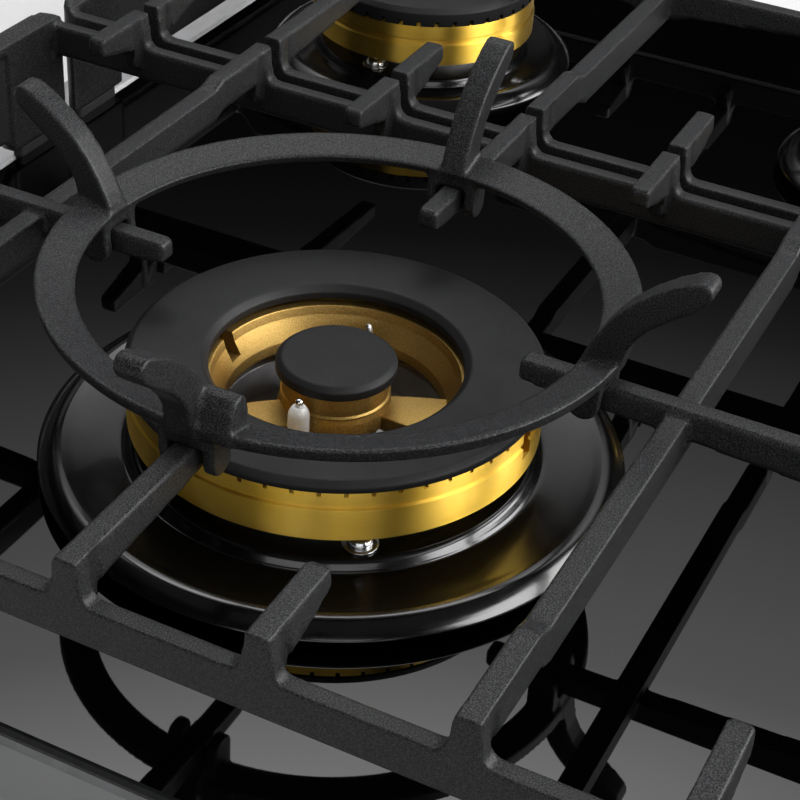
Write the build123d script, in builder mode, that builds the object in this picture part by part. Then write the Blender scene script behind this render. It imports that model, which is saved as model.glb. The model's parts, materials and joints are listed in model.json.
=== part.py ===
"""Three-burner gas-on-glass cooktop: one wok burner on the left, two burners on the right.

Millimetres.  +X to the cook's right, +Y to the back, +Z up.  The origin is under the middle of the
burner box, on its lowest face.  Every piece is its own solid, one STEP file each.
"""
import os
from math import cos, radians, sin

from build123d import *

os.makedirs("parts", exist_ok=True)

# glass panel and the steel box under it
panel_w, panel_t = 590.0, 4.0
panel_y0, panel_y1 = -284.0, 260.0  # front and rear edges of the glass
panel_d, panel_mid = panel_y1 - panel_y0, (panel_y0 + panel_y1) / 2
panel_corner = 8.0
trim_y0, trim_y1 = 260.3, 284.0     # steel strip behind the glass
glass_z = 52.0                      # top face of the glass, above the box's underside
box_w, box_d, box_wall = 524.0, 468.0, 1.0
box_corner = 14.0
flange_w = 9.0

# burners: centre, brass head radius, drip pan radius, hole in the glass
wok_x, wok_y = -143.0, 53.0
wok_r, wok_pan_r, wok_hole_r = 66.0, 94.6, 70.0
rear_x, rear_y = 149.0, 163.8
rear_r, rear_pan_r, rear_hole_r = 50.0, 68.5, 57.4
front_x, front_y = 149.0, -57.8
front_r, front_pan_r, front_hole_r = 28.0, 49.0, 35.4
head_z0 = 18.5                      # foot of the brass, above the glass
# outer wall of each cup, and the circle its pan screws stand on
wok_wall, wok_screw_r = 51.5, 58.0
rear_wall, rear_screw_r = 33.0, 40.0
front_wall, front_screw_r = 15.0, 21.6
wok_screws = (-144.0, -24.0, 96.0)  # where the pan screws sit round each burner
rear_screws = (175.0, 295.0, 55.0)
front_screws = (150.0, 270.0, 30.0)
rear_igniter_at, rear_sensor_at = 30.0, 90.0
front_igniter_at, front_sensor_at = 80.0, 115.0
side_r = 3.0                        # igniters and sensors stand this far outside a plain head

# cast grates, heights above the glass
pitch = 55.4                        # from one finger to the next
grate_half = 211.0
grate_top = 61.4
grate_low = 58.8                    # the lowered middle of the full bars
rail_z0, rail_z1 = 35.0, 48.0
rail_t = 5.6
wall_t, wall_top, wall_low = 6.0, 53.5, 50.4    # end walls: their tops slope down to the inside
leg_w, arch_z = 36.0, 9.0
wok_grate_half, right_grate_half = 146.0, 140.0
wok_finger_r = 61.5                 # finger tips stop this far from the wok burner's axis
foot_h = 4.0

# controls
knob_y = -203.0
knob_xs = (-80.0, 0.0, 80.0)
knob_names = ("left", "middle", "right")
knob_r, knob_z0, knob_z1 = 20.5, 4.5, 25.5
spindle_r = 4.0
pipe_y, pipe_z, pipe_r = -224.0, 20.0, 8.0
tube_z, tube_r = 13.5, 4.0


def save(builder, label):
    """Name a finished piece and write its file."""
    builder.part.label = label
    export_step(builder.part, "parts/" + label + ".step")


def section_plane(x, y):
    """Upright plane through a vertical axis: local x is the radius, local y the height."""
    return Plane(origin=(x, y, 0), x_dir=(1, 0, 0), z_dir=(0, -1, 0))


def turned(points, x, y, mode=Mode.ADD, rounds=()):
    """Turn a closed outline of (radius, height above the glass) about a vertical axis."""
    with BuildSketch(section_plane(x, y)) as outline:
        with BuildLine():
            Polyline(*[(r, glass_z + z) for r, z in points], close=True)
        make_face()
        for index, radius in rounds:
            r, z = points[index]
            corner = outline.vertices().sort_by_distance((r, glass_z + z, 0))[0]
            fillet(corner, radius)
    revolve(outline.sketch, axis=Axis((x, y, 0), (0, 0, 1)), mode=mode)


def post(x, y, z0, z1, radius, mode=Mode.ADD):
    """Upright round bar, heights above the glass."""
    with BuildSketch(Plane.XY.offset(glass_z + z0)) as face:
        with Locations((x, y)):
            Circle(radius)
    extrude(face.sketch, amount=z1 - z0, mode=mode)


def block(x0, x1, y0, y1, z0, z1, mode=Mode.ADD):
    """Upright box, heights above the glass."""
    with BuildSketch(Plane.XY.offset(glass_z + z0)) as face:
        with Locations(((x0 + x1) / 2, (y0 + y1) / 2)):
            Rectangle(x1 - x0, y1 - y0)
    extrude(face.sketch, amount=z1 - z0, mode=mode)


def spoke_box(x, y, radius, angle, length, width, z0, z1, mode=Mode.ADD):
    """Box that lies along a radius of an upright axis."""
    px, py = polar(x, y, radius, angle)
    with BuildSketch(Plane(origin=(px, py, glass_z + z0)).rotated((0, 0, angle))) as face:
        Rectangle(length, width)
    extrude(face.sketch, amount=z1 - z0, mode=mode)


def polar(x, y, radius, angle):
    """Point at a radius and an angle in degrees from a centre."""
    return x + radius * cos(radians(angle)), y + radius * sin(radians(angle))


def bar(x, y, angle, sections):
    """Straight cast bar: sections are (distance, half top width, half foot width, foot, top)."""
    along = Vector(cos(radians(angle)), sin(radians(angle)), 0)
    across = Vector(sin(radians(angle)), -cos(radians(angle)), 0)
    stations = []
    for s, half_top, half_foot, z0, z1 in sections:
        station = Plane(origin=Vector(x, y, glass_z) + along * s, x_dir=across, z_dir=along * -1)
        with BuildSketch(station) as face:
            Polygon((-half_foot, z0), (half_foot, z0), (half_top, z1), (-half_top, z1), align=None)
        stations.append(face.sketch)
    loft(stations, ruled=True)


# ---------------------------------------------------------------- glass panel
burners = ((wok_x, wok_y, wok_hole_r), (rear_x, rear_y, rear_hole_r),
           (front_x, front_y, front_hole_r))
with BuildPart() as glass_top:
    with BuildSketch(Plane.XY.offset(glass_z - panel_t)) as sheet_face:
        with Locations((0, panel_mid)):
            Rectangle(panel_w, panel_d)
        fillet(sheet_face.vertices().group_by(Axis.Y)[0], panel_corner)
    extrude(amount=panel_t)
    chamfer(glass_top.faces().sort_by(Axis.Z)[-1].edges(), 0.6)
    chamfer(glass_top.faces().sort_by(Axis.Z)[0].edges(), 0.5)
    for hx, hy, hr in burners:
        post(hx, hy, -panel_t, 0, hr, Mode.SUBTRACT)
    for kx in knob_xs:
        post(kx, knob_y, -panel_t, 0, 6.5, Mode.SUBTRACT)
save(glass_top, "glass_top")

# ---------------------------------------------------------------- folded steel strip behind the glass
trim_t = 1.0
trim_line = [(trim_y0, glass_z - 1.8), (trim_y0 + 1.8, glass_z), (trim_y1, glass_z), (trim_y1, glass_z - 6.3),
             (trim_y1 - trim_t, glass_z - 6.3), (trim_y1 - trim_t, glass_z - trim_t),
             (trim_y0 + 2.2, glass_z - trim_t), (trim_y0 + trim_t, glass_z - 2.2), (trim_y0 + trim_t, glass_z - 5.1),
             (trim_y0 - 1.5, glass_z - 5.1), (trim_y0 - 1.5, glass_z - 4.1), (trim_y0, glass_z - 4.1)]
with BuildPart() as rear_trim:
    with BuildSketch(Plane(origin=(-panel_w / 2, 0, 0), x_dir=(0, 1, 0), z_dir=(1, 0, 0))):
        Polygon(*trim_line, align=None)
    extrude(amount=panel_w)
    # rounded rear corners in plan
    with BuildSketch():
        RectangleRounded(panel_w, 2 * trim_y1, panel_corner)
    extrude(amount=glass_z + 1, mode=Mode.INTERSECT)
save(rear_trim, "rear_trim")

# ---------------------------------------------------------------- burner box
box_top = glass_z - panel_t
inlet_x, gland_x = 236.0, -220.0
clamp_xs = (-190.0, 190.0)
with BuildPart() as box_floor:
    with BuildSketch():
        RectangleRounded(box_w, box_d, box_corner)
        # two rows of air slots
        for row_x, row_y, count in ((-190.0, -120.0, 5), (149.0, -140.0, 7)):
            with Locations((row_x, row_y)):
                with GridLocations(18, 1, count, 1):
                    SlotOverall(34, 4.6, rotation=90, mode=Mode.SUBTRACT)
    extrude(amount=box_wall)
save(box_floor, "box_floor")

with BuildPart() as box_flange:
    with BuildSketch(Plane.XY.offset(box_top - box_wall)):
        RectangleRounded(box_w + 2 * flange_w, box_d + 2 * flange_w, box_corner + flange_w)
        RectangleRounded(box_w - 2 * box_wall, box_d - 2 * box_wall, box_corner - box_wall,
                         mode=Mode.SUBTRACT)
    extrude(amount=box_wall)
save(box_flange, "box_flange")

# four walls folded from one strip, between the floor and the flange
with BuildPart() as burner_box:
    with BuildSketch(Plane.XY.offset(box_wall)):
        RectangleRounded(box_w, box_d, box_corner)
        RectangleRounded(box_w - 2 * box_wall, box_d - 2 * box_wall, box_corner - box_wall,
                         mode=Mode.SUBTRACT)
    extrude(amount=box_top - 2 * box_wall)
    # gas inlet, mains entry and air slots through the back wall
    back = Plane(origin=(0, box_d / 2, 0), x_dir=(-1, 0, 0), z_dir=(0, 1, 0))
    with BuildSketch(back):
        with Locations((-inlet_x, pipe_z)):
            Circle(11.0)
        with Locations((-gland_x, pipe_z)):
            Circle(8.0)
        with Locations((-40, 24)):
            with GridLocations(18, 1, 7, 1):
                SlotOverall(22, 4.6, rotation=90)
    extrude(amount=-box_wall, mode=Mode.SUBTRACT)
    # clamp screw holes in the front and back walls
    with BuildSketch(back):
        with Locations((-190, 34), (190, 34)):
            Circle(2.2)
    extrude(amount=-box_d, mode=Mode.SUBTRACT)
save(burner_box, "burner_box")

# ---------------------------------------------------------------- foam seal that lies on the worktop
seal_w, seal_t = 8.0, 2.5
with BuildPart() as worktop_seal:
    with BuildSketch(Plane.XY.offset(box_top - seal_t)):
        with Locations((0, panel_mid)):
            RectangleRounded(panel_w - 3, panel_d - 3, panel_corner - 1)
            RectangleRounded(panel_w - 3 - 2 * seal_w, panel_d - 3 - 2 * seal_w, 3, mode=Mode.SUBTRACT)
    extrude(amount=seal_t)
save(worktop_seal, "worktop_seal")

# ---------------------------------------------------------------- worktop clamps and their screws
clamp_w, clamp_t, clamp_reach = 22.0, 1.5, 23.0
with BuildPart() as worktop_clamps:
    for side in (-1, 1):
        for cx in clamp_xs:
            wall = Plane(origin=(cx, side * box_d / 2, 0), x_dir=(0, side, 0), z_dir=(side, 0, 0))
            with BuildSketch(wall.offset(-clamp_w / 2)):
                with BuildLine():
                    Polyline((0, 42), (clamp_t, 42), (clamp_t, 11.5), (clamp_reach - clamp_t, 11.5),
                             (clamp_reach - clamp_t, 16), (clamp_reach, 16), (clamp_reach, 10), (0, 10),
                             close=True)
                make_face()
            extrude(amount=clamp_w)
    with BuildSketch(back.offset(50)):
        with Locations((-190, 34), (190, 34)):
            SlotOverall(11, 4.6, rotation=90)
    extrude(amount=-box_d - 100, mode=Mode.SUBTRACT)
save(worktop_clamps, "worktop_clamps")

with BuildPart() as clamp_screws:
    for side in (-1, 1):
        for cx in clamp_xs:
            face = Plane(origin=(cx, side * (box_d / 2 + clamp_t), 34.0), x_dir=(1, 0, 0), z_dir=(0, side, 0))
            with BuildSketch(face):
                Circle(4.8)
            extrude(amount=1.0)
            with BuildSketch(face.offset(1.0)):
                RegularPolygon(3.6, 6)
            extrude(amount=2.6)
            with BuildSketch(face):
                Circle(2.1)
            extrude(amount=-9.0)
save(clamp_screws, "clamp_screws")

# ---------------------------------------------------------------- steel bridges that carry the cups
bridge_z, bridge_t = -31.5, 1.5     # underside of the plate, above the glass
floor_z = box_wall - glass_z
cup_z = bridge_z + bridge_t
wok_igniter = polar(wok_x, wok_y, 23.4, 179.0)
wok_sensor = polar(wok_x, wok_y, 24.5, 3.0)
wok_jets = ((wok_x, wok_y), (wok_x + 44.0, wok_y))
rear_jets = ((rear_x, rear_y),)
front_jets = ((front_x, front_y),)


def bridge(label, x, y, radius, holes):
    """Folded steel strap: a plate under the cup, two legs and two feet on the box floor."""
    half, width = radius + 14.0, 34.0
    with BuildPart() as strap:
        block(x - half, x + half, y - width / 2, y + width / 2, bridge_z, cup_z)
        for side in (-1, 1):
            x0, x1 = sorted((x + side * half, x + side * (half - bridge_t)))
            block(x0, x1, y - width / 2, y + width / 2, floor_z, cup_z)
            x0, x1 = sorted((x + side * (half - bridge_t), x + side * (half + 12)))
            block(x0, x1, y - width / 2, y + width / 2, floor_z, floor_z + bridge_t)
        for hx, hy in holes:
            post(hx, hy, bridge_z, cup_z, 4.2, Mode.SUBTRACT)
    save(strap, label)


bridge("wok_bridge", wok_x, wok_y, wok_r - 9.5, wok_jets + (wok_igniter, wok_sensor))
bridge("rear_bridge", rear_x, rear_y, rear_r - 9.5, rear_jets)
bridge("front_bridge", front_x, front_y, front_r - 9.5, front_jets)

# ---------------------------------------------------------------- cast aluminium burner cups
pan_floor, sheet = 10.5, 0.9         # top face of a pan where its screws sit, and its thickness
lug_top = pan_floor - sheet


def lugs(x, y, radius, angles):
    """Screw lugs joined to the cup wall."""
    for angle in angles:
        lx, ly = polar(x, y, radius, angle)
        post(lx, ly, -16.0, lug_top, 4.6)
        spoke_box(x, y, radius - 3.5, angle, 7.0, 6.0, -16.0, lug_top)


def tapped(x, y, radius, angles):
    """Holes for the pan screws."""
    for angle in angles:
        lx, ly = polar(x, y, radius, angle)
        post(lx, ly, -5.0, lug_top, 2.0, Mode.SUBTRACT)


with BuildPart() as wok_cup:
    lugs(wok_x, wok_y, wok_screw_r, wok_screws)
    # outer gas channel, open at the top where the brass head drops in
    turned([(36.6, cup_z), (wok_wall, cup_z), (wok_wall, head_z0), (wok_wall - 3, head_z0),
            (wok_wall - 3, cup_z + 4), (39, cup_z + 4), (39, 16), (36.6, 16)], wok_x, wok_y)
    # middle mixing tube with the floor plate that shows through the head
    turned([(10.6, cup_z), (13.6, cup_z), (13.6, 2), (37.6, 2), (37.6, 4.5), (13.6, 4.5), (13.6, 15), (10.6, 15)],
           wok_x, wok_y)
    for angle in (35, 147, 282):
        spoke_box(wok_x, wok_y, 25.4, angle, 25.0, 4.0, cup_z, 2.5)
    post(wok_jets[1][0], wok_jets[1][1], cup_z, cup_z + 4, 3.2, Mode.SUBTRACT)
    tapped(wok_x, wok_y, wok_screw_r, wok_screws)
    post(wok_igniter[0], wok_igniter[1], 2, 4.5, 3.5, Mode.SUBTRACT)
    post(wok_sensor[0], wok_sensor[1], 2, 4.5, 1.8, Mode.SUBTRACT)
    vent_x, vent_y = polar(wok_x, wok_y, 30.0, 86.0)
    post(vent_x, vent_y, 2, 4.5, 4.0, Mode.SUBTRACT)
save(wok_cup, "wok_cup")


def plain_cup(label, x, y, radius, wall, throat, screw_r, angles, igniter_at, sensor_at):
    """Cup of a single-ring burner: an outer wall for the head and a mixing tube in the middle."""
    reach = radius + side_r - wall
    with BuildPart() as cup:
        lugs(x, y, screw_r, angles)
        for angle in (igniter_at, sensor_at):
            ex, ey = polar(x, y, radius + side_r, angle)
            post(ex, ey, -12.0, -5.0, 4.4)
            spoke_box(x, y, wall - 1 + reach / 2, angle, reach, 6.0, -12.0, -5.0)
        turned([(throat, cup_z), (wall, cup_z), (wall, head_z0), (wall - 3, head_z0), (wall - 3, cup_z + 3),
                (throat + 2.5, cup_z + 3), (throat + 2.5, 5), (throat, 5)], x, y)
        turned([(throat + 2.5, cup_z + 3), (wall - 3, cup_z + 3), (wall - 3, 9), (throat + 2.5, 9)],
               x, y, Mode.SUBTRACT)
        tapped(x, y, screw_r, angles)
        for angle, hole in ((igniter_at, 2.6), (sensor_at, 1.8)):
            ex, ey = polar(x, y, radius + side_r, angle)
            post(ex, ey, -12.0, -5.0, hole, Mode.SUBTRACT)
    save(cup, label)


plain_cup("rear_cup", rear_x, rear_y, rear_r, rear_wall, 10.6, rear_screw_r, rear_screws, rear_igniter_at,
          rear_sensor_at)
plain_cup("front_cup", front_x, front_y, front_r, front_wall, 7.6, front_screw_r, front_screws,
          front_igniter_at, front_sensor_at)

# ---------------------------------------------------------------- enamelled drip pans
pans = (("wok_pan", wok_x, wok_y, wok_wall, wok_screw_r, wok_pan_r, wok_hole_r, wok_screws),
        ("rear_pan", rear_x, rear_y, rear_wall, rear_screw_r, rear_pan_r, rear_hole_r, rear_screws),
        ("front_pan", front_x, front_y, front_wall, front_screw_r, front_pan_r, front_hole_r, front_screws))
side_holes = {"rear_pan": (rear_r + side_r, rear_igniter_at, rear_sensor_at),
              "front_pan": (front_r + side_r, front_igniter_at, front_sensor_at)}
ridge_in = 7.4                      # the pan's ridge runs this far inside its rolled rim


def pan_skin(wall, screw_r, rim):
    """Radius and height of the pan's upper skin: screw seat, dip, ridge and rolled rim."""
    start, ridge = screw_r + 6.2, rim - ridge_in
    dip = [(start + share * (ridge - start), z)
           for share, z in ((0.22, 9.0), (0.42, 7.0), (0.6, 6.4), (0.78, 7.1), (0.92, 8.5), (1, 9))]
    return [(wall + 0.7, pan_floor), (start, pan_floor)] + dip + \
        [(rim - 5.0, 8.5), (rim - 2.8, 6.9), (rim - 1.1, 4.7), (rim - 0.1, 2.8), (rim - 0.3, 1.7), (rim - 1.3, 1.2)]


def underside(skin, t):
    """The same line moved square to itself by the sheet's thickness."""
    moved = []
    for i, (r, z) in enumerate(skin):
        before, after = skin[max(i - 1, 0)], skin[min(i + 1, len(skin) - 1)]
        dr, dz = after[0] - before[0], after[1] - before[1]
        length = (dr * dr + dz * dz) ** 0.5
        moved.append((r + t * dz / length, z - t * dr / length))
    return moved


def height_at(line, r):
    """Height of a line of points at one radius."""
    for (r0, z0), (r1, z1) in zip(line, line[1:]):
        if r0 <= r <= r1:
            return z0 + (z1 - z0) * (r - r0) / (r1 - r0)


for label, x, y, wall, screw_r, rim, hole, angles in pans:
    skin = pan_skin(wall, screw_r, rim)
    inner_line = underside(skin, -sheet)
    lower = [(2 * r - ir, 2 * z - iz) for (r, z), (ir, iz) in zip(skin[::-1], inner_line[::-1])]
    with BuildPart() as pan:
        turned(skin + lower, x, y)
        for angle in angles:
            hx, hy = polar(x, y, screw_r, angle)
            post(hx, hy, pan_floor - 3, pan_floor + 1, 2.3, Mode.SUBTRACT)
        if label in side_holes:
            side, igniter_at, sensor_at = side_holes[label]
            for angle, size in ((igniter_at, 3.0), (sensor_at, 2.2)):
                hx, hy = polar(x, y, side, angle)
                post(hx, hy, 0, pan_floor + 3, size, Mode.SUBTRACT)
    save(pan, label)

with BuildPart() as pan_seals:
    for label, x, y, wall, screw_r, rim, hole, angles in pans:
        lower = underside(pan_skin(wall, screw_r, rim), sheet)
        a, b = hole + 0.8, hole + 3.8
        top = min(height_at(lower, a), height_at(lower, b)) - 0.05
        turned([(a, 0), (b, 0), (b, top), (a, top)], x, y)
save(pan_seals, "pan_seals")

with BuildPart() as pan_screws:
    for label, x, y, wall, screw_r, rim, hole, angles in pans:
        for angle in angles:
            sx, sy = polar(x, y, screw_r, angle)
            post(sx, sy, pan_floor, pan_floor + 0.9, 5.6)
            turned([(0, pan_floor + 0.9), (4.2, pan_floor + 0.9), (4.0, pan_floor + 2.2), (2.8, pan_floor + 3.6),
                    (0, pan_floor + 3.9)], sx, sy)
            post(sx, sy, -4.0, pan_floor, 1.95)
            with BuildSketch(Plane.XY.offset(glass_z + pan_floor + 2.2)):
                with Locations((sx, sy)):
                    RegularPolygon(2.0, 6)
            extrude(amount=4, mode=Mode.SUBTRACT)
save(pan_screws, "pan_screws")

# ---------------------------------------------------------------- machined brass heads
wok_notches, hub_notches = 52, 14
with BuildPart() as wok_head:
    # outer trough: machined outside with a groove round its middle, bead-blasted bowl inside
    turned([(38, 18.5), (66, 18.5), (66, 29.4), (65.1, 29.9), (65.1, 30.9), (65.7, 31.4), (65.7, 36), (61, 36),
            (61, 23.5), (59.5, 22), (45, 22), (43, 23.5), (43, 33), (39.6, 33), (38.8, 30), (35.2, 23.4),
            (34.4, 20.2), (36.2, 18.5)], wok_x, wok_y)
    # skirt that drops into the cup
    turned([(39.3, 9), (40.8, 9), (40.8, 20), (39.3, 20)], wok_x, wok_y)
    # hub with its ring bead, and the neck under it
    turned([(12, 16), (15.2, 16), (18.8, 20.5), (17.6, 24.6), (17.0, 26.2), (17.8, 26.9), (17.0, 27.7),
            (17.0, 35), (12, 35)], wok_x, wok_y)
    turned([(8.6, 2.5), (10.54, 2.5), (10.54, 17.5), (12.5, 19.0), (12.5, 21.0), (8.6, 18.0)], wok_x, wok_y)
    # three broad spokes between the hub and the bowl
    for angle in (-78.0, 35.0, 146.0):
        ax, ay = polar(wok_x, wok_y, 25.8, angle)
        with BuildSketch(Plane(origin=(ax, ay, glass_z + 18.5)).rotated((0, 0, angle))):
            Trapezoid(20.0, 20.0, 78, rotation=90)
        extrude(amount=5.4)
    # gas ways up into the trough
    for step in range(12):
        hx, hy = polar(wok_x, wok_y, 46.4, 30.0 * step + 15)
        post(hx, hy, 18, 24, 1.4, Mode.SUBTRACT)
    # flame ports: square notches in the top edges of the trough and of the hub
    for step in range(wok_notches):
        spoke_box(wok_x, wok_y, 64.0, step * 360.0 / wok_notches, 8.0, 1.3, 34.4, 37.0, Mode.SUBTRACT)
    for step in range(hub_notches):
        spoke_box(wok_x, wok_y, 15.0, step * 360.0 / hub_notches, 8.0, 1.4, 33.5, 37.0, Mode.SUBTRACT)
    # channels at two opposite places light the outer ring from the inner one
    for angle in (-90.0, 90.0):
        spoke_box(wok_x, wok_y, 52.0, angle, 36.0, 5.4, 25.5, 37.5, Mode.SUBTRACT)
save(wok_head, "wok_head")


def plain_head(label, x, y, radius, throat):
    """Brass head of a single-ring burner: a grooved drum with a mixing throat."""
    with BuildPart() as head:
        turned([(throat, 20.5), (throat, 6), (throat + 2.1, 6), (throat + 2.1, 18.5), (radius, 18.5),
                (radius, 27.6), (radius - 1.1, 28.4), (radius - 1.1, 29.6), (radius - 0.6, 30.4),
                (radius - 0.6, 36), (radius - 5, 36), (radius - 5, 23), (radius - 6.5, 21.5),
                (throat + 2.4, 21.5)], x, y)
    save(head, label)


plain_head("rear_head", rear_x, rear_y, rear_r, 8.44)
plain_head("front_head", front_x, front_y, front_r, 5.44)

# ---------------------------------------------------------------- black enamelled caps
with BuildPart() as wok_ring_cap:
    turned([(40.2, 35.0), (57.0, 35.0), (58.0, 36), (66.4, 36), (66.4, 38.2), (64.4, 39.7), (42.4, 39.7),
            (40.2, 37.6)], wok_x, wok_y, rounds=((4, 1.4), (5, 1.8), (6, 1.8), (7, 1.0)))
    for angle in (30, 150, 270):
        px, py = polar(wok_x, wok_y, 59.3, angle + 8)
        post(px, py, 33.6, 37, 1.5)
save(wok_ring_cap, "wok_ring_cap")

with BuildPart() as wok_center_cap:
    turned([(0, 34.2), (10.2, 34.2), (10.6, 31.5), (11.8, 31.5), (11.8, 35), (19.3, 35), (19.3, 37.9),
            (17.4, 39.4), (0, 39.7)], wok_x, wok_y, rounds=((6, 0.9), (7, 2.0)))
save(wok_center_cap, "wok_center_cap")


def plain_cap(label, x, y, radius, ports):
    """Cap with square ports cut in the foot of its skirt."""
    r = radius - 0.4
    with BuildPart() as cap:
        turned([(0, 39.0), (r - 8.5, 39.0), (r - 8.5, 34.4), (r - 4.8, 34.4), (r - 4.8, 36), (r, 36), (r, 41.8),
                (r - 2.4, 43.8), (0, 44.6)], x, y, rounds=((6, 0.8), (7, 2.0)))
        for step in range(ports):
            spoke_box(x, y, r - 3.0, (step + 0.5) * 360.0 / ports, 14.0, 1.9, 33.0, 38.4, Mode.SUBTRACT)
    save(cap, label)


plain_cap("rear_cap", rear_x, rear_y, rear_r, 40)
plain_cap("front_cap", front_x, front_y, front_r, 24)

# ---------------------------------------------------------------- igniters and flame sensors
side_igniters = (polar(rear_x, rear_y, rear_r + side_r, rear_igniter_at),
                 polar(front_x, front_y, front_r + side_r, front_igniter_at))
side_sensors = (polar(rear_x, rear_y, rear_r + side_r, rear_sensor_at),
                polar(front_x, front_y, front_r + side_r, front_sensor_at))
with BuildPart() as igniter_ceramics:
    ix, iy = wok_igniter
    turned([(0, -14), (2.4, -14), (2.4, -6), (3.4, -5), (3.4, 31.6), (2.1, 33.9), (0, 33.9)], ix, iy)
    for ix, iy in side_igniters:
        turned([(0, -16), (1.9, -16), (2.5, -14), (2.5, -2.5), (2.4, 27.0), (1.4, 29.0), (0, 29.0)], ix, iy)
save(igniter_ceramics, "igniter_ceramics")

with BuildPart() as igniter_tips:
    ix, iy = wok_igniter
    turned([(0, 33.9), (0.8, 33.9), (0.8, 34.3), (1.35, 35.0), (1.35, 35.6), (0.8, 36.3), (0, 36.5)], ix, iy)
    for ix, iy in side_igniters:
        turned([(0, 29.0), (0.7, 29.0), (0.7, 32.6), (1.1, 33.2), (1.1, 33.8), (0.6, 34.4), (0, 34.6)], ix, iy)
save(igniter_tips, "igniter_tips")

with BuildPart() as flame_sensors:
    for (ix, iy), low, top in ((wok_sensor, -14, 37.0), (side_sensors[0], -16, 35.0),
                               (side_sensors[1], -16, 35.0)):
        turned([(0, low), (1.6, low), (1.6, top - 3.0), (1.1, top - 0.8), (0.5, top), (0, top)], ix, iy)
save(flame_sensors, "flame_sensors")

with BuildPart() as wok_grommet:
    turned([(0, 0.8), (5.2, 0.8), (5.2, 1.9), (3.9, 1.9), (3.9, 4.6), (5.2, 4.6), (4.6, 6.4), (2.2, 6.4),
            (1.6, 5.2), (0, 5.2)], vent_x, vent_y)
save(wok_grommet, "wok_grommet")

# ---------------------------------------------------------------- gas jets and their holders
jets = wok_jets + rear_jets + front_jets
with BuildPart() as jet_holders:
    for jx, jy in jets:
        block(jx - 8, jx + 8, jy - 8, jy + 8, 7 - glass_z, bridge_z)
        with BuildSketch(Plane(origin=(jx, jy - 8, tube_z), x_dir=(1, 0, 0), z_dir=(0, -1, 0))):
            Circle(tube_r)
        extrude(amount=-7, mode=Mode.SUBTRACT)
        post(jx, jy, bridge_z - 7, bridge_z, 1.6, Mode.SUBTRACT)
save(jet_holders, "jet_holders")

with BuildPart() as gas_jets:
    for jx, jy in jets:
        turned([(0.5, bridge_z), (3.0, bridge_z), (3.0, bridge_z + 4.5), (2.0, bridge_z + 7.5),
                (0.5, bridge_z + 7.5)], jx, jy)
save(gas_jets, "gas_jets")


def pipe(points, radius, bore, bend):
    """Bent pipe or wire along a line of points with rounded corners."""
    corners = [Vector(*p) for p in points]
    with BuildLine() as route:
        FilletPolyline(*corners, radius=bend)
    start = Plane(origin=corners[0], z_dir=(corners[1] - corners[0]).normalized())
    with BuildSketch(start) as face:
        Circle(radius)
        if bore:
            Circle(bore, mode=Mode.SUBTRACT)
    sweep(face.sketch, path=route.wires()[0])


jet_face = 1.0                      # a tube ends this far in front of its jet
tube_y = -182.0
runs = ([(-90, tube_y, tube_z), (-90, -60, tube_z), (wok_x, -60, tube_z), (wok_x, wok_y - jet_face, tube_z)],
        [(-72, tube_y, tube_z), (-72, -30, tube_z), (wok_jets[1][0], -30, tube_z),
         (wok_jets[1][0], wok_y - jet_face, tube_z)],
        [(0, tube_y, tube_z), (0, 100, tube_z), (rear_x, 100, tube_z), (rear_x, rear_y - jet_face, tube_z)],
        [(80, tube_y, tube_z), (80, -120, tube_z), (front_x, -120, tube_z),
         (front_x, front_y - jet_face, tube_z)])
with BuildPart() as gas_tubes:
    for line in runs:
        pipe(line, tube_r, 3.0, 11.0)
save(gas_tubes, "gas_tubes")

with BuildPart() as tube_nuts:
    for line in runs:
        nx, ny = line[-1][0], line[-1][1] - 7.0
        with BuildSketch(Plane(origin=(nx, ny, tube_z), x_dir=(1, 0, 0), z_dir=(0, -1, 0))):
            RegularPolygon(6.6, 6)
            Circle(tube_r, mode=Mode.SUBTRACT)
        extrude(amount=7.5)
save(tube_nuts, "tube_nuts")

# ---------------------------------------------------------------- supply pipe and inlet
with BuildPart() as supply_pipe:
    pipe([(-112, pipe_y, pipe_z), (inlet_x, pipe_y, pipe_z), (inlet_x, 214, pipe_z)], pipe_r, 6.5, 20.0)
    with BuildSketch(Plane(origin=(-112, pipe_y, pipe_z), z_dir=(-1, 0, 0))):
        Circle(pipe_r)
    extrude(amount=2.0)
save(supply_pipe, "supply_pipe")

inlet_r, neck_r = 10.48, 10.95      # plain end that takes the elbow, and the neck in the wall's hole
inlet_y0, wall_in, inlet_y1 = 206.0, box_d / 2 - box_wall, 254.0
neck_end = box_d / 2 + 2
inlet_plane = Plane(origin=(inlet_x, 0, pipe_z), x_dir=(1, 0, 0), z_dir=(0, 1, 0))
with BuildPart() as gas_inlet:
    with BuildSketch(inlet_plane.offset(inlet_y0)):
        RegularPolygon(14.0, 6)
    extrude(amount=wall_in - inlet_y0)
    with BuildSketch(inlet_plane.offset(wall_in)):
        Circle(neck_r)
    extrude(amount=neck_end - wall_in)
    with BuildSketch(inlet_plane.offset(neck_end)):
        Circle(inlet_r)
    extrude(amount=inlet_y1 - neck_end)
    chamfer(gas_inlet.faces().sort_by(Axis.Y)[-1].edges(), 1.0)
    with BuildSketch(inlet_plane.offset(inlet_y0)):
        Circle(pipe_r)
    extrude(amount=8, mode=Mode.SUBTRACT)
    with BuildSketch(inlet_plane.offset(inlet_y0)):
        Circle(6.5)
    extrude(amount=60, mode=Mode.SUBTRACT)
save(gas_inlet, "gas_inlet")

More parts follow.
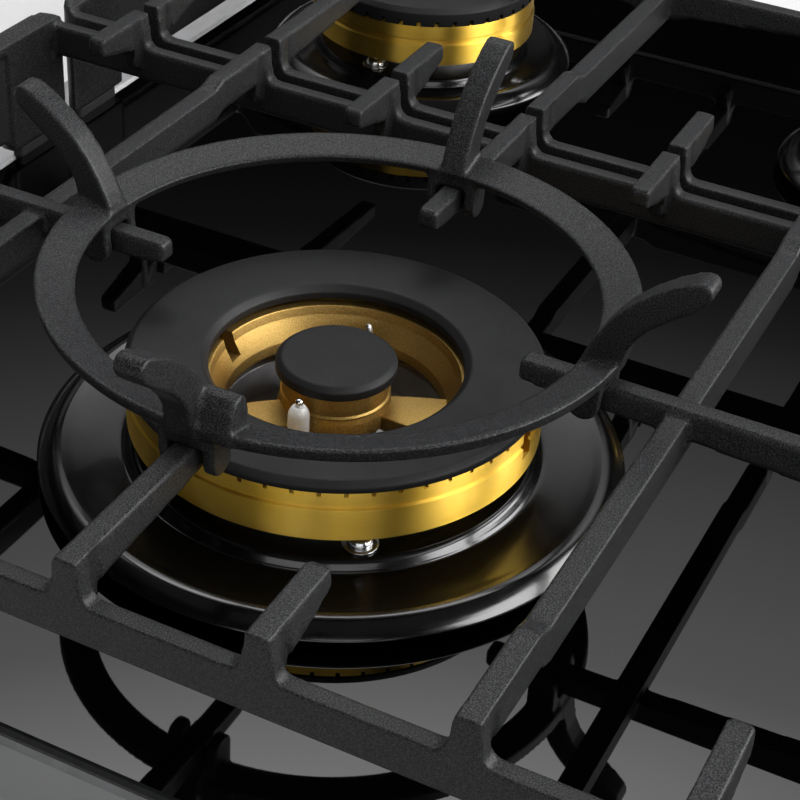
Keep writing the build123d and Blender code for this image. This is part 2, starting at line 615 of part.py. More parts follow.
# ---------------------------------------------------------------- gas valves, seen from above behind the knobs
plug_r, plug_z0, plug_z1 = 8.0, 12.5, 32.5
body_z0, body_z1, bush_z = 8.0, 36.0, 33.0
with BuildPart() as valve_bodies:
    for kx in knob_xs:
        block(kx - 14, kx + 14, pipe_y + 2, -187, body_z0 - glass_z, body_z1 - glass_z)
        post(kx, knob_y, plug_z0 - 0.5 - glass_z, bush_z - glass_z, plug_r + 0.05, Mode.SUBTRACT)
        post(kx, knob_y, bush_z - glass_z, body_z1 - glass_z, 10.0, Mode.SUBTRACT)
        with BuildSketch(Plane(origin=(kx - 20, pipe_y, pipe_z), z_dir=(1, 0, 0))):
            Circle(pipe_r)
        extrude(amount=40, mode=Mode.SUBTRACT)
        with BuildSketch(Plane(origin=(kx, pipe_y + 4, pipe_z), x_dir=(1, 0, 0), z_dir=(0, 1, 0))):
            Circle(2.5)
        extrude(amount=12, mode=Mode.SUBTRACT)
    # outlet stubs towards the burners
    for tx in (-90.0, -72.0, 0.0, 80.0):
        with BuildSketch(Plane(origin=(tx, -187, tube_z), x_dir=(1, 0, 0), z_dir=(0, 1, 0))):
            Circle(6.0)
        extrude(amount=9)
        with BuildSketch(Plane(origin=(tx, -182, tube_z), x_dir=(1, 0, 0), z_dir=(0, 1, 0))):
            Circle(tube_r)
        extrude(amount=9, mode=Mode.SUBTRACT)
save(valve_bodies, "valve_bodies")

bush_r = spindle_r + 0.06
with BuildPart() as valve_bushes:
    for kx in knob_xs:
        turned([(bush_r, bush_z - glass_z), (10.0, bush_z - glass_z), (10.0, body_z1 - glass_z),
                (6.5, body_z1 - glass_z), (6.5, 41 - glass_z), (bush_r, 41 - glass_z)], kx, knob_y)
save(valve_bushes, "valve_bushes")

with BuildPart() as spark_switches:
    for kx in knob_xs:
        block(kx + 7.5, kx + 14, -209, -197, body_z1 - glass_z, 44 - glass_z)
        block(kx + 9, kx + 12.5, -206, -200, 44 - glass_z, 45.5 - glass_z)
save(spark_switches, "spark_switches")

with BuildPart() as knob_bezels:
    for kx in knob_xs:
        turned([(21.6, 0), (24.4, 0), (24.4, 2.6), (23.4, 3.9), (21.6, 3.9)], kx, knob_y)
save(knob_bezels, "knob_bezels")

with BuildPart() as spindle_seals:
    for kx in knob_xs:
        turned([(4.3, -5.2), (6.4, -5.2), (6.4, 0), (9.0, 0), (8.4, 1.6), (4.3, 1.6)], kx, knob_y)
save(spindle_seals, "spindle_seals")

flat = 2.7                          # the spindle's flat lies this far from its axis


def d_shape(kx, radius, z0, z1, mode=Mode.ADD, side=flat):
    """Round bar with one flat, heights above the glass."""
    with BuildSketch(Plane.XY.offset(glass_z + z0)) as face:
        with Locations((kx, knob_y)):
            Circle(radius)
        with Locations((kx, knob_y - side - 10)):
            Rectangle(40, 20, mode=Mode.SUBTRACT)
    extrude(face.sketch, amount=z1 - z0, mode=mode)


for kx, name in zip(knob_xs, knob_names):
    with BuildPart() as plug:
        post(kx, knob_y, plug_z0 - glass_z, plug_z1 - glass_z, plug_r)
        d_shape(kx, spindle_r + 0.05, 18.5 - glass_z, plug_z1 - glass_z, Mode.SUBTRACT, flat + 0.05)
        with BuildSketch(Plane(origin=(kx, knob_y - 10, 15.5), x_dir=(1, 0, 0), z_dir=(0, 1, 0))):
            Circle(2.0)
        extrude(amount=20, mode=Mode.SUBTRACT)
    save(plug, "plug_" + name)

    with BuildPart() as spindle:
        d_shape(kx, spindle_r, 24 - glass_z, 37 - glass_z)
        post(kx, knob_y, 37 - glass_z, 5.0, spindle_r)
        d_shape(kx, spindle_r, 5.0, 18.0)
    save(spindle, "spindle_" + name)

    with BuildPart() as knob:
        turned([(0, 17.4), (16.6, 17.0), (18.2, knob_z0), (knob_r, knob_z0), (knob_r, 7.8), (19.2, 9.4),
                (18.8, 18.6), (17.6, 20.0), (0, 20.4)], kx, knob_y)
        # flat grip across the top, and the boss that takes the spindle
        with BuildSketch(Plane.XY.offset(glass_z + 18.8)):
            with Locations((kx, knob_y)):
                SlotOverall(37.0, 9.0, rotation=90)
        extrude(amount=knob_z1 - 18.8, taper=3)
        post(kx, knob_y, 6.5, knob_z1 - 5.0, 7.0)
        d_shape(kx, spindle_r + 0.03, 6.5, 18.3, Mode.SUBTRACT, flat + 0.03)
        # pointer line
        with BuildSketch(Plane.XY.offset(glass_z + knob_z1 - 0.6)):
            with Locations((kx, knob_y + 11.5)):
                Rectangle(1.4, 10.0)
        extrude(amount=2, mode=Mode.SUBTRACT)
    save(knob, "knob_" + name)

# ---------------------------------------------------------------- electrics inside the box
with BuildPart() as spark_unit:
    block(-150, -80, 186, 222, floor_z, 28 - glass_z)
    for tx in (-140, -128, -116, -104):
        block(tx - 2.5, tx + 2.5, 178, 186, 12 - glass_z, 18 - glass_z)
    block(-158, -150, 196, 212, floor_z, floor_z + 3)
    block(-80, -72, 202, 210, floor_z + 8, floor_z + 11)
save(spark_unit, "spark_unit")

with BuildPart() as terminal_block:
    block(-240, -200, 176, 194, floor_z, 14 - glass_z)
    for tx in (-233, -220, -207):
        block(tx - 4.5, tx + 4.5, 179, 191, 14 - glass_z, 19 - glass_z)
        post(tx, 185, 16 - glass_z, 19 - glass_z, 2.4, Mode.SUBTRACT)
save(terminal_block, "terminal_block")

gland_r = 3.6
gland_plane = Plane(origin=(gland_x, 0, pipe_z), x_dir=(1, 0, 0), z_dir=(0, 1, 0))
with BuildPart() as cord_gland:
    with BuildSketch(gland_plane.offset(226)):
        RegularPolygon(11.0, 6)
    extrude(amount=box_d / 2 - box_wall - 226)
    with BuildSketch(gland_plane.offset(226)):
        Circle(7.95)
    extrude(amount=14)
    with BuildSketch(gland_plane.offset(box_d / 2)):
        RegularPolygon(11.0, 6)
    extrude(amount=6)
    with BuildSketch(gland_plane.offset(box_d / 2 + 6)):
        Circle(8.0)
    extrude(amount=8, taper=10)
    with BuildSketch(gland_plane.offset(220)):
        Circle(gland_r)
    extrude(amount=40, mode=Mode.SUBTRACT)
save(cord_gland, "cord_gland")

lead_z, sense_z = 6.0, 3.4
low = 37.0
with BuildPart() as ignition_leads:
    pipe([(*wok_igniter, low), (*wok_igniter, lead_z), (wok_igniter[0], 120, lead_z), (-116, 120, lead_z),
          (-116, 186, lead_z)], 1.3, 0, 4.0)
    ix, iy = side_igniters[0]
    pipe([(ix, iy, low - 2), (ix, iy, lead_z), (ix, 205, lead_z), (-80, 205, lead_z)], 1.3, 0, 4.0)
    ix, iy = side_igniters[1]
    pipe([(ix, iy, low - 2), (ix, iy, lead_z), (ix, 20, lead_z), (-20, 20, lead_z), (-20, 196, lead_z),
          (-80, 196, lead_z)], 1.3, 0, 4.0)
save(ignition_leads, "ignition_leads")

with BuildPart() as sensor_leads:
    pipe([(*wok_sensor, low), (*wok_sensor, sense_z), (wok_sensor[0], -100, sense_z), (-60, -100, sense_z),
          (-60, -195, sense_z)], 0.8, 0, 4.0)
    ix, iy = side_sensors[0]
    pipe([(ix, iy, low - 2), (ix, iy, sense_z), (60, iy, sense_z), (60, -150, sense_z), (20, -150, sense_z),
          (20, -195, sense_z)], 0.8, 0, 4.0)
    ix, iy = side_sensors[1]
    pipe([(ix, iy, low - 2), (ix, iy, sense_z), (ix, -8, sense_z), (104, -8, sense_z), (104, -195, sense_z)],
         0.8, 0, 4.0)
save(sensor_leads, "sensor_leads")

# ---------------------------------------------------------------- cast grates
short = 32.5                        # length of a short finger from the rail's outer face


root = [(0, 3.5, 2.6, 38, grate_top), (9.6, 3.5, 2.2, 41, grate_top), (10.8, 3.5, 4.2, 49.5, grate_top)]


def tip(length):
    """Blunt end of a finger with a small bevel."""
    return [(length - 1.2, 3.4, 3.8, 54.4, grate_top), (length, 2.8, 3.2, 55.0, grate_top - 0.9)]


def finger(x, y, angle, length):
    """Finger rising from a rail's outer face and reaching inwards, thinner towards its tip."""
    bar(x, y, angle, root + tip(length))


def full_bar(x, y, angle, length):
    """Bar from rail to rail: raised near both ends, lower in the middle."""
    rise = root + [(35.4, 3.5, 4.3, 49.5, grate_top), (42.0, 3.6, 4.4, 47.0, grate_low)]
    bar(x, y, angle, rise + [(length - s, top, foot, z0, z1) for s, top, foot, z0, z1 in rise[::-1]])


def rail(x, y0, y1, posts, inward):
    """Side rail with a post under every finger, inside corners rounded."""
    outer = Plane(origin=(x, 0, glass_z), x_dir=(0, 1, 0), z_dir=(1, 0, 0))
    with BuildSketch(outer) as face:
        with Locations(((y0 + y1) / 2, (rail_z0 + rail_z1) / 2)):
            Rectangle(y1 - y0, rail_z1 - rail_z0)
        for at in posts:
            Polygon((at - 5.6, rail_z1 - 4), (at + 5.6, rail_z1 - 4), (at + 3.5, grate_top), (at - 3.5, grate_top),
                    align=None)
        inside = [v for v in face.vertices() if abs(v.Y - rail_z1) < 0.1 and y0 + 9 < v.X < y1 - 9]
        fillet(inside, 4.0)
    extrude(face.sketch, amount=rail_t * inward)


def end_wall(y, x0, x1, inward):
    """End wall: a broad leg at each corner, a low arch between them, a top that slopes inwards."""
    outer = Plane(origin=(0, y, glass_z), x_dir=(1, 0, 0), z_dir=(0, -1, 0))
    with BuildSketch(outer) as face:
        with BuildLine():
            Polyline((x0, foot_h), (x0 + leg_w, foot_h), (x0 + leg_w + 4, arch_z), (x1 - leg_w - 4, arch_z),
                     (x1 - leg_w, foot_h), (x1, foot_h), (x1, rail_z1 + 2), (x1 - 7, wall_top - 0.7),
                     (x1 - 14, wall_top), (x0 + 14, wall_top), (x0 + 7, wall_top - 0.7), (x0, rail_z1 + 2),
                     close=True)
        make_face()
        fillet(face.vertices().filter_by(lambda v: abs(v.Y - arch_z) < 0.1), 4.0)
    extrude(face.sketch, amount=-wall_t * inward)
    # the wall is thinner between the legs, on its inner side
    y0, y1 = sorted((y + inward * (wall_t - 1.6), y + inward * (wall_t + 1)))
    block(x0 + leg_w, x1 - leg_w, y0, y1, foot_h, wall_low - 4, Mode.SUBTRACT)
    bevel = Plane(origin=(x0 - 1, y, glass_z), x_dir=(0, 1, 0), z_dir=(1, 0, 0))
    if inward < 0:
        bevel = Plane(origin=(x1 + 1, y, glass_z), x_dir=(0, -1, 0), z_dir=(-1, 0, 0))
    with BuildSketch(bevel) as slope:
        Polygon((0.8, wall_top), (wall_t, wall_low), (wall_t + 1, wall_low), (wall_t + 1, wall_top + 3),
                (0.8, wall_top + 3), align=None)
    extrude(slope.sketch, amount=x1 - x0 + 2, mode=Mode.SUBTRACT)


peg_r = 1.6                         # peg of a rubber foot, pressed into the leg
foot_places = [(side, end) for side in (-1, 1) for end in (-1, 1)]


def foot_at(x, half, side, end):
    """Middle of the leg at one corner of a grate."""
    return x + side * (half - leg_w / 2), wok_y + end * (grate_half - wall_t / 2)


def grate_frame(x, half, posts):
    """End walls with their legs, and the side rails, of one grate."""
    x0, x1, y0, y1 = x - half, x + half, wok_y - grate_half, wok_y + grate_half
    end_wall(y1, x0, x1, -1)
    end_wall(y0, x0, x1, 1)
    rail(x0, y0, y1, posts, 1)
    rail(x1, y0, y1, posts, -1)
    for side, end in foot_places:
        post(*foot_at(x, half, side, end), foot_h, foot_h + 6, peg_r + 0.05, Mode.SUBTRACT)
    # corners rounded in plan
    with BuildSketch(Plane.XY.offset(glass_z)) as plan:
        with Locations((x, wok_y)):
            RectangleRounded(2 * half, 2 * grate_half, 6.0)
    extrude(plan.sketch, amount=grate_top + 5, mode=Mode.INTERSECT)


# roots of the bars that start at an end wall, and at the middle bar
wall_root = [(1, 3.4, 4.4, 42, 52.6), (8, 3.4, 4.4, 43, 53.4), (14, 3.5, 4.3, 48, grate_top)]
bar_root = [(1, 3.4, 4.4, 48, grate_low), (8, 3.5, 4.3, 48, grate_low), (14, 3.5, 4.3, 50, grate_top)]
finger_ys = [wok_y + pitch * n for n in (-3, -2, -1, 0, 1, 2, 3)]
with BuildPart() as grate_left:
    half = wok_grate_half
    grate_frame(wok_x, half, finger_ys)
    for n in (-3, -1, 1, 3):
        finger(wok_x - half, wok_y + pitch * n, 0, short)
        finger(wok_x + half, wok_y + pitch * n, 180, short)
    for n in (-2, 2):
        full_bar(wok_x - half, wok_y + pitch * n, 0, 2 * half)
    finger(wok_x - half, wok_y, 0, half - wok_finger_r)
    finger(wok_x + half, wok_y, 180, half - wok_finger_r)
    # cross bars in from both end walls, crossing the full bars
    reach = grate_half - wok_finger_r
    for y, angle in ((wok_y + grate_half, 270), (wok_y - grate_half, 90)):
        bar(wok_x, y, angle, wall_root + tip(reach))
save(grate_left, "grate_left")

with BuildPart() as grate_right:
    half = right_grate_half
    x0, x1 = rear_x - half, rear_x + half
    grate_frame(rear_x, half, finger_ys)
    for n in (-3, -1, 1, 3):
        finger(x0, wok_y + pitch * n, 0, short)
        finger(x1, wok_y + pitch * n, 180, short)
    full_bar(x0, wok_y, 0, 2 * half)
    for n, stop in ((2, rear_r - 5), (-2, front_r - 4)):
        finger(x0, wok_y + pitch * n, 0, half - stop)
        finger(x1, wok_y + pitch * n, 180, half - stop)
    for y, angle, reach in ((wok_y + grate_half, 270, wok_y + grate_half - rear_y - rear_r + 5),
                            (wok_y - grate_half, 90, front_y - front_r + 4 - wok_y + grate_half),
                            (wok_y, 90, rear_y - rear_r + 5 - wok_y),
                            (wok_y, 270, wok_y - front_y - front_r + 4)):
        start = wall_root if abs(y - wok_y) > pitch else bar_root
        bar(rear_x, y, angle, start + tip(reach))
save(grate_right, "grate_right")

for label, x, half in (("feet_left", wok_x, wok_grate_half), ("feet_right", rear_x, right_grate_half)):
    with BuildPart() as feet:
        for side, end in foot_places:
            fx, fy = foot_at(x, half, side, end)
            with BuildSketch(Plane.XY.offset(glass_z)):
                with Locations((fx, fy)):
                    SlotOverall(28.0, 5.2)
            extrude(amount=foot_h)
            post(fx, fy, foot_h - 1, foot_h + 5, peg_r)
    save(feet, label)

# ---------------------------------------------------------------- loose cast ring for a round-bottomed wok
band = [(79.4, 67.2), (91.9, 70.4), (90.9, 65.7), (80.6, 64.2)]
arm_line = [(80.2, 65.2), (80.2, 69.0), (81.8, 73.2), (84.6, 79.0), (88.2, 85.0), (92.4, 90.2), (97.6, 94.9),
            (103.4, 99.2), (108.6, 102.2), (112.0, 103.4), (114.4, 102.4), (115.2, 99.8), (113.8, 96.6),
            (109.6, 92.8), (104.6, 88.9), (99.6, 84.6), (96.0, 80.2), (93.6, 75.6), (92.4, 70.4), (91.4, 65.4)]
tab_line = [(79.6, 66.0), (79.2, 55.2), (80.4, 52.6), (82.6, 51.6), (85.8, 51.6), (87.8, 52.8), (88.8, 55.4),
            (89.2, 66.0)]
lobe_line = [(80.6, 65.4), (80.2, 73.6), (81.4, 77.8), (84.0, 79.8), (87.0, 79.0), (89.4, 75.6), (90.6, 70.0),
             (90.8, 66.0)]
with BuildPart() as wok_ring:
    turned(band, wok_x, wok_y)
    for angle in (0, 90, 180, 270):
        radial = Plane(origin=(wok_x, wok_y, glass_z), x_dir=(cos(radians(angle)), sin(radians(angle)), 0),
                       z_dir=(sin(radians(angle)), -cos(radians(angle)), 0))
        with BuildSketch(radial):
            Polygon(*arm_line, align=None)
        extrude(amount=4.4, both=True)
        # foot that stands on the finger, between two tabs that straddle it
        with BuildSketch(radial):
            Polygon((80.4, grate_top), (89.6, grate_top), (91.0, 66.4), (80.0, 66.4), align=None)
        extrude(amount=5.4, both=True)
        for side in (-1, 1):
            with BuildSketch(radial.offset(side * 5.2)):
                Polygon(*tab_line, align=None)
            extrude(amount=side * 3.8)
        # a rounded lobe beside one arm, on top of the band
        if angle == 180:
            with BuildSketch(radial.offset(-4.0)):
                Polygon(*lobe_line, align=None)
            extrude(amount=-11.0)
save(wok_ring, "wok_ring")
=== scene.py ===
import json
import math
import bpy
import bmesh
from mathutils import Matrix, Vector


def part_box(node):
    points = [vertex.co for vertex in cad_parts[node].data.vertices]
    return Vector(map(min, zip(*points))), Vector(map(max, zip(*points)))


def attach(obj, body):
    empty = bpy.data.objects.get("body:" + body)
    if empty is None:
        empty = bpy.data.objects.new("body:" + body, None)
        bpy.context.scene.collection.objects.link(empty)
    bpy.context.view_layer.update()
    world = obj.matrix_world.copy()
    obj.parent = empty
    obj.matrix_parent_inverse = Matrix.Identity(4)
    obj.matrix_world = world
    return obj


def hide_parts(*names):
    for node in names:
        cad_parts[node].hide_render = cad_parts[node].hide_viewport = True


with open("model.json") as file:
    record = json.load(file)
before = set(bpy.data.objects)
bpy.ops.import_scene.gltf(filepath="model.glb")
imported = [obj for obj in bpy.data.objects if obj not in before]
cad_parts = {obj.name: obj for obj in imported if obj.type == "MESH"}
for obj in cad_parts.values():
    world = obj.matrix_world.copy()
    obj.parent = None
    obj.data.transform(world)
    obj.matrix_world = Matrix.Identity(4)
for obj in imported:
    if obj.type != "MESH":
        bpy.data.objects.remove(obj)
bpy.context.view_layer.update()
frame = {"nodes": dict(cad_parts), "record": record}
print("frame loaded")

mm = 0.001
nodes = frame["nodes"]
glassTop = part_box("glass_top")[1].z
bodyOf = {node: body for body, group in frame["record"]["behaviour"]["bodies"].items() for node in group}


def middleOf(node):
    low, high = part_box(node)
    return (low + high) / 2


wokAt = middleOf("wok_head")
rearAt = middleOf("rear_head")
frontAt = middleOf("front_head")


# rounds the corners of an outline in millimetres; radii says which corners and by how much
def rounded(points, radii, cyclic=True, steps=6):
    out = []
    count = len(points)
    for i, here in enumerate(points):
        radius = radii.get(i, 0)
        if radius == 0 or (not cyclic and i in (0, count - 1)):
            out.append(tuple(here))
            continue
        here = Vector(here)
        back = (Vector(points[i - 1]) - here).normalized()
        ahead = (Vector(points[(i + 1) % count]) - here).normalized()
        half = math.acos(max(-1, min(1, back.dot(ahead)))) / 2
        run = radius / math.tan(half)
        hub = here + (back + ahead).normalized() * (radius / math.sin(half))
        start = here + back * run - hub
        end = here + ahead * run - hub
        turn = math.atan2(start.x * end.y - start.y * end.x, start.dot(end))
        for s in range(steps + 1):
            a = turn * s / steps
            out.append((hub.x + start.x * math.cos(a) - start.y * math.sin(a),
                        hub.y + start.x * math.sin(a) + start.y * math.cos(a)))
    return out


def smoothCurve(points, steps=6):  # soft line through given points
    out = []
    for i in range(len(points) - 1):
        p0 = Vector(points[max(i - 1, 0)])
        p1, p2 = Vector(points[i]), Vector(points[i + 1])
        p3 = Vector(points[min(i + 2, len(points) - 1)])
        for s in range(steps):
            t = s / steps
            out.append(0.5 * ((2 * p1) + (p2 - p0) * t + (2 * p0 - 5 * p1 + 4 * p2 - p3) * t * t
                              + (3 * p1 - p0 - 3 * p2 + p3) * t ** 3))
    out.append(Vector(points[-1]))
    return out


def objectFrom(bm, name):
    mesh = bpy.data.meshes.new(name)
    bm.to_mesh(mesh)
    bm.free()
    made = bpy.data.objects.new(name, mesh)
    bpy.context.collection.objects.link(made)
    return made


# smooth faces, with a crease where they meet at more than so many degrees
def shade(mesh, sharp):
    for face in mesh.polygons:
        face.use_smooth = True
    mesh.set_sharp_from_angle(angle=math.radians(sharp))


def pieceFrom(bm, name, body, material, node=None, sharp=32):
    bmesh.ops.recalc_face_normals(bm, faces=bm.faces)
    piece = objectFrom(bm, name)
    shade(piece.data, sharp)
    piece.data.materials.append(material)
    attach(piece, body)
    if node:
        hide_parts(node)
    return piece


# turns an outline of (radius, height over the glass) in millimetres about an upright axis
def lathe(bm, outline, at, steps=192, cyclic=True):
    rings = []
    for r, z in outline:
        if r < 1e-6:
            rings.append([bm.verts.new((at[0], at[1], glassTop + z * mm))])
            continue
        ring = []
        for s in range(steps):
            a = 2 * math.pi * s / steps
            x, y = at[0] + r * mm * math.cos(a), at[1] + r * mm * math.sin(a)
            ring.append(bm.verts.new((x, y, glassTop + z * mm)))
        rings.append(ring)
    pairs = list(zip(rings, rings[1:]))
    if cyclic:
        pairs.append((rings[-1], rings[0]))
    for low, high in pairs:
        if len(low) == 1 and len(high) == 1:
            continue
        for s in range(steps):
            t = (s + 1) % steps
            if len(low) == 1:
                bm.faces.new((low[0], high[t], high[s]))
            elif len(high) == 1:
                bm.faces.new((low[s], low[t], high[0]))
            else:
                bm.faces.new((low[s], low[t], high[t], high[s]))


# box along a radius of an upright axis; middle is how far out its centre lies, all in millimetres
def radialBox(bm, at, angle, middle, length, width, low, high):
    turn = Matrix.Rotation(math.radians(angle), 4, "Z")
    size = Matrix.Diagonal((length * mm, width * mm, (high - low) * mm, 1))
    axis = Matrix.Translation((at[0], at[1], glassTop + (low + high) / 2 * mm))
    outward = Matrix.Translation((middle * mm, 0, 0))
    bmesh.ops.create_cube(bm, size=1, matrix=axis @ turn @ outward @ size)


def cutAway(piece, cutters):  # takes the cutters' shapes out of a piece for good
    tool = objectFrom(cutters, "cutters")
    cut = piece.modifiers.new("cut", "BOOLEAN")
    cut.operation = "DIFFERENCE"
    cut.solver = "EXACT"
    cut.object = tool
    settle(piece)
    bpy.data.meshes.remove(tool.data)  # the cutters' object goes with it


def settle(piece, sharp=32):  # applies a piece's modifiers
    graph = bpy.context.evaluated_depsgraph_get()
    graph.update()
    done = bpy.data.meshes.new_from_object(piece.evaluated_get(graph), depsgraph=graph)
    piece.modifiers.clear()
    piece.data = done
    shade(done, sharp)


# materials
class Finish:
    def __init__(self, name):
        self.material = bpy.data.materials.new(name)
        self.material.use_nodes = True
        self.tree = self.material.node_tree
        self.shader = self.tree.nodes["Principled BSDF"]
        self.place = self.add("ShaderNodeTexCoord").outputs["Object"]
        self.height = None

    def add(self, kind, **settings):
        node = self.tree.nodes.new(kind)
        for key, value in settings.items():
            setattr(node, key, value)
        return node

    def link(self, a, b):
        self.tree.links.new(a, b)

    def plain(self, **values):  # values straight on the shader's own sockets
        for key, value in values.items():
            socket = self.shader.inputs[key.replace("_", " ")]
            if hasattr(socket.default_value, "__len__"):
                value = (*value, 1.0)
            socket.default_value = value
        return self

    def grain(self, scale, detail=3.0, rough=0.55, stretch=None):
        place = self.place
        if stretch:
            shape = self.add("ShaderNodeMapping")
            shape.inputs["Scale"].default_value = stretch
            self.link(self.place, shape.inputs["Vector"])
            place = shape.outputs["Vector"]
        noise = self.add("ShaderNodeTexNoise")
        noise.inputs["Scale"].default_value = scale
        noise.inputs["Detail"].default_value = detail
        noise.inputs["Roughness"].default_value = rough
        self.link(place, noise.inputs["Vector"])
        return noise.outputs["Fac"]

    def spread(self, source, low, high, at):
        ramp = self.add("ShaderNodeMapRange")
        ramp.inputs["From Min"].default_value = at[0]
        ramp.inputs["From Max"].default_value = at[1]
        ramp.inputs["To Min"].default_value = low
        ramp.inputs["To Max"].default_value = high
        self.link(source, ramp.inputs["Value"])
        return ramp.outputs["Result"]

    def tint(self, source, dark, light, at=(0.3, 0.7)):
        ramp = self.add("ShaderNodeValToRGB")
        ramp.color_ramp.elements[0].position = at[0]
        ramp.color_ramp.elements[1].position = at[1]
        ramp.color_ramp.elements[0].color = (*dark, 1)
        ramp.color_ramp.elements[1].color = (*light, 1)
        self.link(source, ramp.inputs["Fac"])
        self.link(ramp.outputs["Color"], self.shader.inputs["Base Color"])

    def roughness(self, source, low, high, at=(0.3, 0.7)):
        self.link(self.spread(source, low, high, at), self.shader.inputs["Roughness"])

    def bump(self, source, depth, strength=1.0):  # depth in millimetres
        node = self.add("ShaderNodeBump")
        node.inputs["Strength"].default_value = strength
        node.inputs["Distance"].default_value = depth * mm
        self.link(source, node.inputs["Height"])
        if self.height is not None:
            self.link(self.height, node.inputs["Normal"])
        self.height = node.outputs["Normal"]
        self.link(self.height, self.shader.inputs["Normal"])

    def softEdge(self, radius):  # catches light on a CAD solid's edges
        node = self.add("ShaderNodeBevel", samples=6)
        node.inputs["Radius"].default_value = radius * mm
        self.height = node.outputs["Normal"]
        self.link(self.height, self.shader.inputs["Normal"])


# grain is how fine a pattern is, depth how far it stands up in millimetres
castIron = {"dark": (0.006, 0.006, 0.0065), "light": (0.098, 0.100, 0.104), "rough": (0.36, 0.48),
            "shine": 0.17, "grain": 2300, "depth": 0.06, "sandGrain": 160, "sandDepth": 0.08}
capCoat = {"colour": (0.0095, 0.0097, 0.0105), "rough": 0.56, "shine": 0.26, "grain": 2600, "depth": 0.025}
panCoat = {"colour": (0.0010, 0.0010, 0.0011), "rough": 0.17, "grain": 300, "depth": 0.02}
turned = {"dark": (0.80, 0.50, 0.06), "light": (0.90, 0.60, 0.11), "rough": (0.40, 0.50),
          "marks": 1500, "depth": 0.004, "spread": 0.97}
# blasted brass tone: darker and more saturated than the turned brass, partly its matte finish and partly
# painted shade for the hollow bowl
blastedShaded = {"dark": (0.28, 0.17, 0.04), "light": (0.52, 0.35, 0.12), "rough": (0.40, 0.58),
           "grain": 1900, "broadGrain": 260, "depth": 0.05}


def makeCastEnamel():
    f = Finish("castEnamel").plain(Specular_IOR_Level=castIron["shine"])
    fine = f.grain(castIron["grain"], 4, 0.66)
    sand = f.grain(castIron["sandGrain"], 3)
    f.tint(fine, castIron["dark"], castIron["light"], (0.43, 0.74))
    f.roughness(fine, *castIron["rough"])
    f.bump(sand, castIron["sandDepth"], 0.4)
    f.bump(fine, castIron["depth"])
    return f.material


def makeCapEnamel():
    colour, rough = capCoat["colour"], capCoat["rough"]
    f = Finish("capEnamel").plain(Specular_IOR_Level=capCoat["shine"])
    fine = f.grain(capCoat["grain"], 3)
    f.tint(fine, tuple(c * 0.8 for c in colour), tuple(c * 1.35 for c in colour))
    f.roughness(f.grain(90, 2), rough - 0.05, rough + 0.05)
    f.bump(fine, capCoat["depth"], 0.7)
    return f.material


def makePanEnamel():
    colour, rough = panCoat["colour"], panCoat["rough"]
    f = Finish("panEnamel").plain(Specular_IOR_Level=0.5, Coat_Weight=0.2, Coat_Roughness=0.05)
    f.tint(f.grain(500, 2), colour, tuple(c * 1.5 for c in colour))
    f.roughness(f.grain(120, 3), rough, rough + 0.06)
    f.bump(f.grain(panCoat["grain"], 2), panCoat["depth"], 0.5)
    return f.material


# lathe marks run round the axis, so a highlight spreads across them
def makeTurnedBrass():
    f = Finish("brassTurned").plain(Metallic=1.0, Anisotropic=turned["spread"], Anisotropic_Rotation=0.25)
    f.tint(f.grain(60, 3), turned["dark"], turned["light"])
    marks = f.grain(turned["marks"], 2, stretch=(0.02, 0.02, 1))
    f.roughness(marks, *turned["rough"])
    f.bump(marks, turned["depth"])
    around = f.add("ShaderNodeTangent", direction_type="RADIAL", axis="Z")
    f.link(around.outputs["Tangent"], f.shader.inputs["Tangent"])
    return f.material


# blasted brass for the bowl, hub and spokes: its darkened, deepened colour is painted shade of the hollow and
# the light bounced round it
def makeBlastedShadedBrass():
    f = Finish("brassBlastedShaded").plain(Metallic=1.0)
    fine = f.grain(blastedShaded["grain"], 3, 0.6)
    f.tint(fine, blastedShaded["dark"], blastedShaded["light"])
    f.roughness(fine, *blastedShaded["rough"])
    f.bump(f.grain(blastedShaded["broadGrain"], 3), blastedShaded["depth"], 0.4)
    f.bump(fine, blastedShaded["depth"])
    return f.material


def makeMetal(name, dark, light, rough, scale=900, depth=0.01, edge=0.3):
    f = Finish(name).plain(Metallic=1.0)
    f.softEdge(edge)
    fine = f.grain(scale, 3)
    f.tint(f.grain(70, 3), dark, light)
    f.roughness(fine, rough, rough + 0.14)
    f.bump(fine, depth)
    return f.material


def makeMatte(name, dark, light, rough, scale=1500, depth=0.02, edge=0.3):
    f = Finish(name).plain(Specular_IOR_Level=0.4)
    f.softEdge(edge)
    fine = f.grain(scale, 3)
    f.tint(fine, dark, light)
    f.roughness(fine, rough, rough + 0.12)
    f.bump(fine, depth)
    return f.material


def makeGlass():
    f = Finish("blackGlass").plain(Base_Color=(0.0006, 0.0006, 0.0007), IOR=1.5, Specular_IOR_Level=0.5)
    f.roughness(f.grain(14, 2), 0.012, 0.03)
    return f.material


def makeGlassEdge():
    f = Finish("glassEdge").plain(Specular_IOR_Level=0.12)
    f.tint(f.grain(300, 2, stretch=(1, 1, 0.2)), (0.004, 0.0045, 0.0045), (0.010, 0.0115, 0.011))
    f.roughness(f.grain(900, 2), 0.45, 0.6)
    return f.material


def makeZinc():
    f = Finish("zincSteel").plain(Metallic=0.35)
    f.softEdge(0.5)
    cells = f.add("ShaderNodeTexVoronoi")
    cells.inputs["Scale"].default_value = 110
    f.link(f.place, cells.inputs["Vector"])
    f.tint(cells.outputs["Color"], (0.70, 0.71, 0.72), (0.80, 0.81, 0.82), (0.1, 0.9))
    f.roughness(cells.outputs["Color"], 0.34, 0.50)
    return f.material


